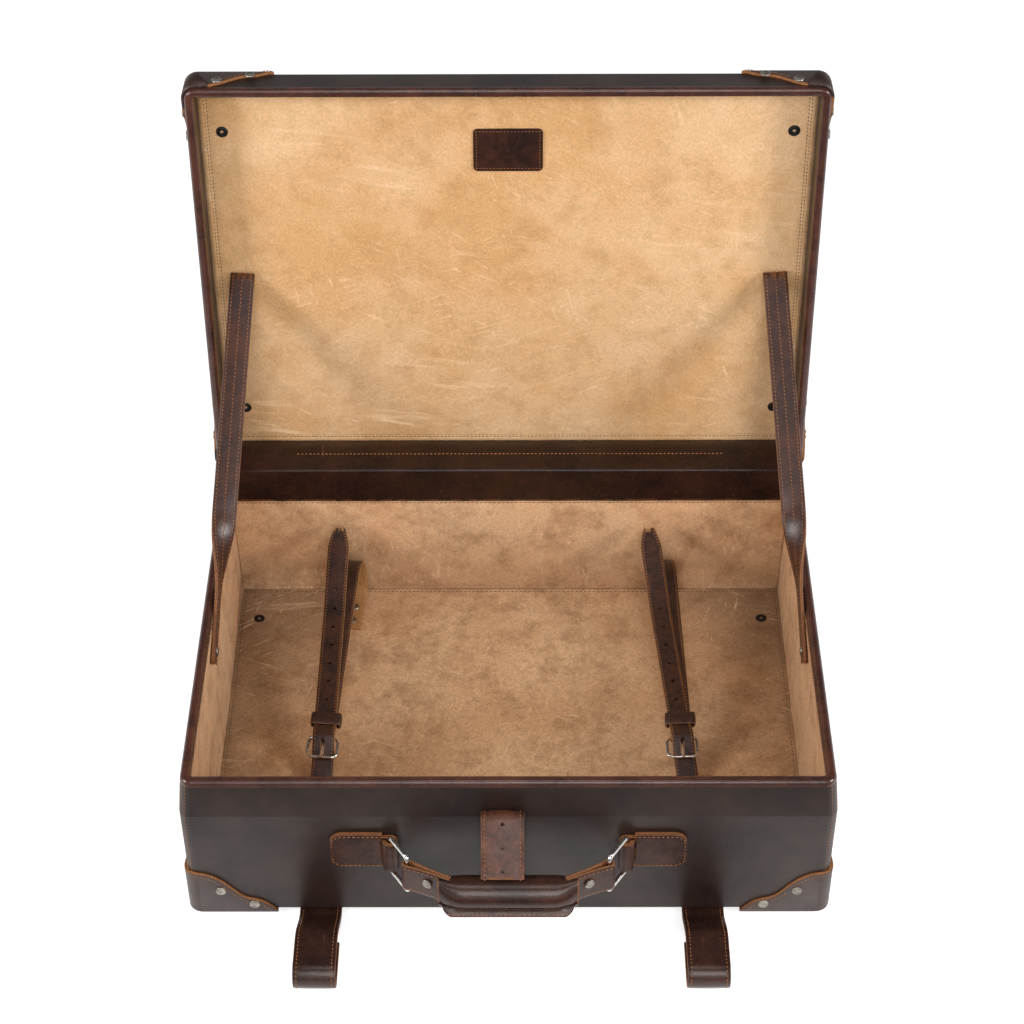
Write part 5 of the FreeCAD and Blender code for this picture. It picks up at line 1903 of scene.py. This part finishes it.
@dataclass
class Hinge:
    """The leather of the hinge: a band inside, a flap on the back wall, and one from it onto the lid."""

    body_length: float = 518.0
    length: float = 384.0
    under_ply: float = 1.2
    over_ply: float = 2.0
    foot: float = 128.0
    lap: float = 143.0
    lid_edge: float = 166.0
    bend_from: Flat = (1.0, -9.0)
    bend_to: Flat = (10.0, -1.0)
    under_bend: float = 2.4
    over_bend: float = 4.5
    reach: float = 196.0
    band_low: float = 129.0
    band_thick: float = 1.2
    band_length: float = 525.0
    band_path: Tuple[Flat, ...] = (
        (191.4, 157.0), (191.0, 168.8), (207.5, 171.2), (221.0, 171.8), (235.2, 168.4),
    )
    band_bends: Tuple[float, ...] = (8.0, 1.8, 10.0, 30.0)
    seam_y: float = 210.0
    seam_half: float = 200.0
    seam_end: float = 4.0
    rim_drop: float = 0.2

    def build(self) -> None:
        """Make the wide flap, which reaches the lid's rim, and the narrower one over it, with seams."""
        y, z = self.back(self.rim_z()), self.rim_z()
        bend_at = [Vector((0.0, y + dy, z + dz)) * MM for dy, dz in (self.bend_from, self.bend_to)]
        bodies = ("body", "lid")
        path = ((self.back(self.foot), self.foot), (y, z), self.on_lid(self.lid_edge))
        stations = run_of(path, (self.under_bend,), self.under_ply, self.body_length, moved(0.0), step=4.0)
        flap = Strap("hinge_flap_body_leather", stations, Finishes.BAND, crown=0.0, wrinkle=0.2, columns=60)
        stretch(flap.mesh(), bodies, *bend_at, "hinge_flap_body")
        lap = (self.back(self.lap) + self.under_ply, self.lap)
        path = (lap, (y + self.under_ply, z), self.on_lid(self.reach))
        stations = run_of(path, (self.over_bend,), self.over_ply, self.length, moved(0.0), step=3.0)
        strip = Strap("hinge_flap_leather", stations, Finishes.BAND, crown=0.0, wrinkle=0.3, columns=48)
        stretch(strip.mesh(), bodies, *bend_at, "hinge_flap_lid")
        places = ((flap, 1), (strip, 1), (strip, len(stations) - 2))
        rows = [strap.cross_row(index, self.seam_end) for strap, index in places]
        stretch(Seam().sew("hinge_flap_stitches", rows), bodies, *bend_at)
        self.band()

    def band(self) -> None:
        """Make the band inside, from the back lining over both rolled rims onto the lid's back wall."""
        path = ((SHAPE.inner(self.band_low)[1], self.band_low),) + self.band_path
        stations = run_of(path, self.band_bends, -self.band_thick, self.band_length, moved(0.0), step=3.0)
        band = Strap("hinge_band_leather", stations, Finishes.BAND, crown=0.0, wrinkle=0.45, columns=70)
        start, end = (Vector((0.0, *self.band_path[i])) * MM for i in (0, 2))
        stretch(band.mesh(), ("body", "lid"), start, end, "body_hinge_band", "lid_hinge_band")
        off = [abs(station.middle.y / MM - self.seam_y) for station in stations]
        row = band.cross_row(off.index(min(off)), self.band_length / 2 - self.seam_half)
        stretch(Seam(thickness=1.1).sew("hinge_band_stitches", [row]), ("body", "lid"), start, end)

    @staticmethod
    def on_lid(z: float) -> Flat:
        """Return Y and Z of the outer face of the open lid's back wall, by its height on the closed lid."""
        point = SHAPE.lid_point(0.0, 0.0, z) / MM
        return point.y, point.z

    @staticmethod
    def back(z: float) -> float:
        """Return the Y of the body's back wall at a height."""
        return SHAPE.depth / 2 - SHAPE.inset(z)

    def rim_z(self) -> float:
        """Return the height at which the open lid's back wall meets the body's."""
        return SHAPE.hinge_z - self.rim_drop


@dataclass
class Handle:
    """The carrying handle: tabs and folds on the wall, rings, end straps and a rolled grip."""

    height: float = 85.5
    wall_y: float = -203.742
    lean: float = 0.384
    fold_x: float = 99.0
    fold_gap: float = 0.3
    fold_radius: float = 7.0
    fold_width: float = 34.0
    fold_thick: float = 4.4
    fold_foot: float = 8.5
    fold_foot_step: float = 1.4
    fold_foot_count: int = 6
    fold_count: int = 25
    fold_turn: float = 11.5
    tab_length: float = 44.0
    tab_width: float = 41.5
    tab_thick: float = 5.0
    tab_corner: float = 11.0
    tab_seam: float = 3.0
    tab_steps: int = 32
    tab_skip: Tuple[int, int] = (0, 4)
    tab_ease: float = 1.6
    ring_length: float = 27.0
    ring_swing: float = math.radians(56.0)
    ring_wire: float = 2.5
    ply: float = 2.6
    ply_apart: float = 1.42
    end_width: float = 30.0
    end_taper: float = -0.2
    end_drop: float = 4.5
    end_inside: float = 6.0
    end_seam: float = 2.6
    end_steps: int = 12
    loop_steps: int = 18
    grip_reach: float = 36.0
    grip_length: float = 108.0
    cover_length: float = 117.0
    grip_radius: float = 14.3
    grip_end: Flat = (6.5, 15.6)
    grip_axis: Flat = (-249.0, 81.0)
    grip_steps: int = 72
    taper_from: float = 0.3
    taper_power: float = 2.2
    tube_start: float = 16.0
    tube_steps: int = 36
    flange: float = 6.3
    flange_half: float = 2.6
    flange_length: float = 110.0
    flange_run_out: float = 7.0
    flange_seam: float = 2.2
    groove: Flat = (0.5, 0.6)
    sewn_from: float = 0.9
    lips: Tuple[Space, ...] = (
        (0.12, 1.2, 0.0), (0.4, 1.02, 0.0), (0.85, 1.0, 0.0),
        (0.95, 0.95, 0.5), (1.0, 0.7, 1.0), (1.0, 0.12, 1.0),
    )

    def wall(self, side: int) -> ToWorld:
        """Return the map to metres for what is drawn against an upright wall at Y = 0."""
        turn = Matrix.Rotation(math.radians(self.lean), 3, "X")
        foot = Vector((0, self.wall_y, self.height))
        return lambda x, y, z: (turn @ Vector((side * x, y, z)) + foot) * MM

    def fold_y(self) -> float:
        """Return the Y of the axis of the folds, from the wall."""
        return -self.fold_gap - self.fold_radius

    def build(self) -> None:
        """Make every piece of the handle."""
        for name, side in (("left", -1), ("right", 1)):
            self.tab(name, side)
            self.fold(name, side)
            self.end_strap(name, side)
            dress(Finishes.WIRE, "handle_ring_" + name)
        dress(Finishes.CORE, "handle_core")
        RIVET_HEAD.stand_for("handle_rivets", "handle_rivet_heads", "handle")
        self.grip()

    def tab(self, name: str, side: int) -> None:
        """Make a tab that is sewn to the wall."""
        node = "handle_tab_" + name
        world = self.wall(side)
        near = self.fold_x + self.fold_radius
        out, across = way_of(world, 0, -1, 0), way_of(world, 0, 0, 1)
        stations = []
        for i in range(self.tab_steps + 1):
            x = near + self.tab_length * (1 - (1 - i / self.tab_steps) ** self.tab_ease)
            half = self.tab_width / 2
            over = x - (near + self.tab_length - self.tab_corner)
            if over > 0:
                half = half - self.tab_corner + math.sqrt(max(self.tab_corner ** 2 - over ** 2, 0.0))
            stations.append(Station(world(x, -self.tab_thick / 2, 0), across, out, half, self.tab_thick / 2))
        look = {"finish": Finishes.TAB, "plies": 2, "crown": 0.4, "wrinkle": 0.3, "rounding": 2.2}
        tab = Strap(node + "_leather", stations, **look)
        settle(tab.mesh(), "body", node)
        row, back = (tab.row(self.tab_seam, s, True, self.tab_skip) for s in (1, -1))
        row.points += back.points[::-1]
        row.facing += back.facing[::-1]
        settle(Seam().sew(node + "_stitches", [row]), "body")

    def fold(self, name: str, side: int) -> None:
        """Make the fold of leather round a ring's inner bar."""
        world = self.wall(side)
        x, y = self.fold_x, self.fold_y()
        radius = self.fold_radius - self.fold_thick / 2
        feet = [x + self.fold_foot - i * self.fold_foot_step for i in range(self.fold_foot_count)]
        plan = [(foot, y + radius, 0.0, 1.0) for foot in feet]
        for step in range(self.fold_count):
            angle = math.radians(90 + step * self.fold_turn)
            out_x, out_y = math.cos(angle), math.sin(angle)
            plan.append((x + radius * out_x, y + radius * out_y, out_x, out_y))
        across = way_of(world, 0, 0, 1)
        stations = []
        for x, y, out_x, out_y in plan:
            middle, outside = world(x, y, 0), world(x + out_x, y + out_y, 0)
            size = (self.fold_width / 2, self.fold_thick / 2)
            stations.append(Station.toward(middle, outside, across, *size))
        look = {"finish": Finishes.TAB, "plies": 2, "crown": 0.3, "wrinkle": 0.3}
        fold = Strap("handle_fold_" + name + "_leather", stations, **look)
        settle(fold.mesh(), "body", "handle_tab_fold_" + name)

    def end_plan(self, bar: Vector, grip: Vector) -> List[Tuple[Vector, Vector]]:
        """Return the plan of a strap that goes from the grip round a ring's bar and back.

        Args:
            bar: the middle of the bar, from the wall.
            grip: where both plies end.

        Returns:
            Places in the middle of the ply, with the way that its outer face looks.
        """
        along = (grip - bar).normalized()
        normal = Vector((-along.y, along.x))
        radius = self.ring_wire + self.ply / 2

        def ply(share: float, way: Vector) -> Tuple[Vector, Vector]:
            off = self.ply_apart + (radius - self.ply_apart) * share ** 3
            return grip - along * ((grip - bar).length * share) + way * off, way

        plan = [ply(i / self.end_steps, normal) for i in range(self.end_steps)]
        for i in range(self.loop_steps + 1):
            angle = math.radians(180 * i / self.loop_steps)
            arm = normal * math.cos(angle) - along * math.sin(angle)
            plan.append((bar + arm * radius, arm))
        return plan + [ply(1 - i / self.end_steps, -normal) for i in range(1, self.end_steps + 1)]

    def end_strap(self, name: str, side: int) -> None:
        """Make the doubled strap from a ring to the grip, which bends with the handle."""
        node = "handle_end_" + name
        world = self.wall(side)
        arm = Vector((math.cos(self.ring_swing), math.sin(self.ring_swing))) * self.ring_length
        bar = Vector((self.fold_x, self.fold_y())) - arm
        grip = Vector((self.grip_length / 2 - self.end_inside, self.fold_y() - self.grip_reach))
        along = (grip - bar).normalized()
        across = way_of(world, 0, 0, 1)
        stations = []
        for place, out in self.end_plan(bar, grip):
            gone = max(0.0, (place - bar).dot(along)) / (grip - bar).length
            drop = -self.end_drop * gone
            middle, outside = world(*place, drop), world(*(place + out), drop)
            half = self.end_width / 2 - self.end_taper * gone
            stations.append(Station.toward(middle, outside, across, half, self.ply / 2))
        strap = Strap(node + "_leather", stations, crown=0.2, wrinkle=0.25, flesh_below=True)
        start, end = world(*bar, 0), world(*grip, 0)
        stretch(strap.mesh(), ("body", "handle"), start, end, node)
        sewn = Seam().sew(node + "_stitches", strap.edge_rows(self.end_seam))
        stretch(sewn, ("body", "handle"), start, end)

    def grip_outline(
        self, x: float, way: Vector, up: Vector
    ) -> Tuple[List[Tuple[Vector, float]], float, float]:
        """Return the grip's section.

        Args:
            x: the distance from the grip's middle.
            way: the way that the flange points.
            up: the way that the flange's upper face looks.

        Returns:
            Points about the axis with how raw each is, the reach of the flange and its share of the full one.
        """
        near_end = max(0.0, abs(x) / self.cover_length - self.taper_from) / (0.5 - self.taper_from)
        full = max(0.0, 1 - near_end ** self.taper_power)
        thick, tall = (end + (self.grip_radius - end) * full for end in self.grip_end)
        lip = self.flange_length / 2 - abs(x)
        share = 0.0 if lip <= 0 else min(1.0, math.sqrt(lip / self.flange_run_out))
        tube = []
        for k in range(self.tube_steps + 1):
            angle = math.radians(self.tube_start + k * (360 - 2 * self.tube_start) / self.tube_steps)
            spoke = way * math.cos(angle) + up * math.sin(angle)
            tube.append((Vector((0, spoke.y * thick, spoke.z * tall)), 0.0))
        root = tube[0][0].dot(way)
        reach = root + (self.grip_radius + self.flange - root) * share
        lips = [(root + (reach - root) * s, self.flange_half * h, raw * share) for s, h, raw in self.lips]
        upper = [(way * s + up * h, raw) for s, h, raw in lips]
        lower = [(way * s - up * h, raw) for s, h, raw in lips]
        groove = (way * (reach - self.groove[0] * share), self.groove[1] * share)
        return tube + lower + [groove] + upper[::-1], reach, share

    def grip(self) -> None:
        """Make the rolled grip: a padded tube whose seam is a flange of two plies."""
        made = bmesh.new()
        cut = made.verts.layers.float.new("cut")
        way = Vector((0, -math.sqrt(0.5), -math.sqrt(0.5)))
        up = Vector((0, -math.sqrt(0.5), math.sqrt(0.5)))
        rings = []
        rows = [Row(), Row()]
        for i in range(self.grip_steps + 1):
            x = self.cover_length * (i / self.grip_steps - 0.5)
            centre = Vector((x, *self.grip_axis))
            outline, reach, share = self.grip_outline(x, way, up)
            ring = []
            for offset, raw in outline:
                vert = made.verts.new((centre + offset) * MM)
                vert[cut] = 1.0 if i in (0, self.grip_steps) else raw
                ring.append(vert)
            rings.append(ring)
            if share > self.sewn_from:
                for row, sign in zip(rows, (1, -1)):
                    face = up * (sign * self.flange_half * self.lips[1][1])
                    row.put((centre + way * (reach - self.flange_seam) + face) * MM, up * sign)
        loft(made, rings)
        made.faces.new(rings[0])
        made.faces.new(rings[-1][::-1])
        settle(shaped("handle_grip_leather", made, Finishes.POLISHED), "handle", "handle_cover")
        settle(Seam().sew("handle_grip_stitches", rows), "handle")


@dataclass
class Studio:
    """Pale floor, soft light from both sides and above, and the photograph's camera."""

    eye: Space = (0.01296, -1.58456, 1.65678)
    lens: float = 86.5
    sensor: float = 36.0
    pitch: float = 40.934
    yaw: float = 0.35
    roll: float = 0.31
    horizon: float = 0.85
    ceiling: float = 0.08
    wall_top: Flat = (0.12, 0.55)
    paper: float = 0.86
    bare: float = 0.1
    paper_end: Flat = (-0.27, -0.46)
    seen_glow: Flat = (0.62, 1.0)
    mirrored_glow: Flat = (0.5, 0.0)
    floor_size: float = 8.0
    aim: Space = (0.0, 0.0, 0.15)
    softboxes: Tuple[Tuple[str, Space, float, float], ...] = (
        ("left_softbox", (-2.1, -0.9, 1.3), 0.6, 37.0),
        ("right_softbox", (2.1, -0.9, 1.3), 0.6, 37.0),
        ("front_softbox", (0.2, -2.6, 2.0), 1.6, 37.0),
        ("top_softbox", (0.0, -0.5, 2.4), 0.7, 5.0),
    )

    def build(self) -> None:
        """Make the camera, the world, the floor and the lights."""
        self.camera()
        self.world()
        self.floor()
        for softbox in self.softboxes:
            self.softbox(*softbox)

    @staticmethod
    def hold(name: str, data: bpy.types.ID) -> Object:
        """Return an object of the studio's own, in the scene."""
        held = bpy.data.objects.new(name, data)
        bpy.context.scene.collection.objects.link(held)
        return held

    def camera(self) -> None:
        """Set the photograph's camera."""
        data = bpy.data.cameras.new("camera")
        data.lens = self.lens
        data.sensor_width = self.sensor
        held = self.hold("camera", data)
        turn = Matrix.Rotation(math.radians(self.yaw), 4, "Z")
        turn = turn @ Matrix.Rotation(math.radians(90 - self.pitch), 4, "X")
        turn = turn @ Matrix.Rotation(math.radians(-self.roll), 4, "Z")
        held.matrix_world = Matrix.Translation(self.eye) @ turn
        bpy.context.scene.camera = held

    def world(self) -> None:
        """Light the scene from pale walls all round, under a dark ceiling."""
        world = bpy.data.worlds.new("studio")
        bpy.context.scene.world = world
        world.use_nodes = True
        graph = Graph(world.node_tree)
        up = add(graph.tree, "ShaderNodeSeparateXYZ", {0: graph.place("Generated")}).outputs["Z"]
        levels = (*self.wall_top, self.horizon, self.ceiling)
        level = graph.ramp(up, *levels, interpolation_type="SMOOTHSTEP")
        white = {"Color": linear("#ffffff"), "Strength": level}
        air = add(graph.tree, "ShaderNodeBackground", white)
        add(graph.tree, "ShaderNodeOutputWorld", {"Surface": air.outputs[0]})

    def floor(self) -> None:
        """Make the pale floor, which stays white in the picture but keeps the shadow."""
        made = bmesh.new()
        bmesh.ops.create_grid(made, x_segments=1, y_segments=1, size=self.floor_size)
        mesh = bpy.data.meshes.new("floor")
        made.to_mesh(mesh)
        made.free()
        floor = self.hold("floor", mesh)
        paint = bpy.data.materials.new("white_paper_sweep")
        paint.use_nodes = True
        graph = Graph(paint.node_tree)
        along = add(graph.tree, "ShaderNodeSeparateXYZ", {0: graph.place()}).outputs["Y"]
        bare = graph.ramp(along, *self.paper_end, interpolation_type="SMOOTHSTEP")
        greys = ((tone, tone, tone, 1.0) for tone in (self.paper, self.bare))
        matt = add(graph.tree, "ShaderNodeBsdfDiffuse", {"Color": graph.mix(bare, *greys)})
        path = add(graph.tree, "ShaderNodeLightPath").outputs
        seen = graph.ramp(bare, 0.0, 1.0, *self.seen_glow)
        seen = graph.math("MULTIPLY", path["Is Camera Ray"], seen)
        mirrored = graph.ramp(bare, 0.0, 1.0, *self.mirrored_glow)
        level = graph.math("MULTIPLY_ADD", path["Is Glossy Ray"], mirrored, seen)
        glow = add(graph.tree, "ShaderNodeEmission", {"Color": linear("#ffffff"), "Strength": level})
        both = add(graph.tree, "ShaderNodeAddShader", {0: matt.outputs[0], 1: glow.outputs[0]})
        add(graph.tree, "ShaderNodeOutputMaterial", {"Surface": both.outputs[0]})
        mesh.materials.append(paint)
        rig.stage(floor)

    def softbox(self, name: str, place: Space, size: float, watts: float) -> None:
        """Hang a square softbox that points at the case."""
        data = bpy.data.lights.new(name, "AREA")
        data.size = size
        data.energy = watts
        lamp = self.hold(name, data)
        lamp.location = place
        way = Vector(self.aim) - Vector(place)
        lamp.rotation_euler = way.to_track_quat("-Z", "Y").to_euler()


def main() -> None:
    logging.basicConfig(level=logging.INFO, format="%(name)s %(message)s")
    bpy.context.scene.view_settings.view_transform = "Standard"
    Studio().build()
    Body().build()
    Lid().build()
    CornerCaps().build()
    Belts().build()
    PackingStrap("left", shift=-168.0, strap_skew=-1.5, chape_skew=-5.0).build()
    PackingStrap("right", shift=156.0, strap_skew=6.5, chape_skew=2.5).build()
    RIVET_HEAD.stand_for("packing_rivets", "packing_rivet_heads", "body")
    Stays().build()
    Hinge().build()
    Handle().build()
    boxes = {"cad": CAD_BOX, "visual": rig.bounds()}
    with open("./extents.json", "w") as kept:
        json.dump({name: [[float(c) for c in corner] for corner in box] for name, box in boxes.items()}, kept)


if __name__ == "__main__":
    main()
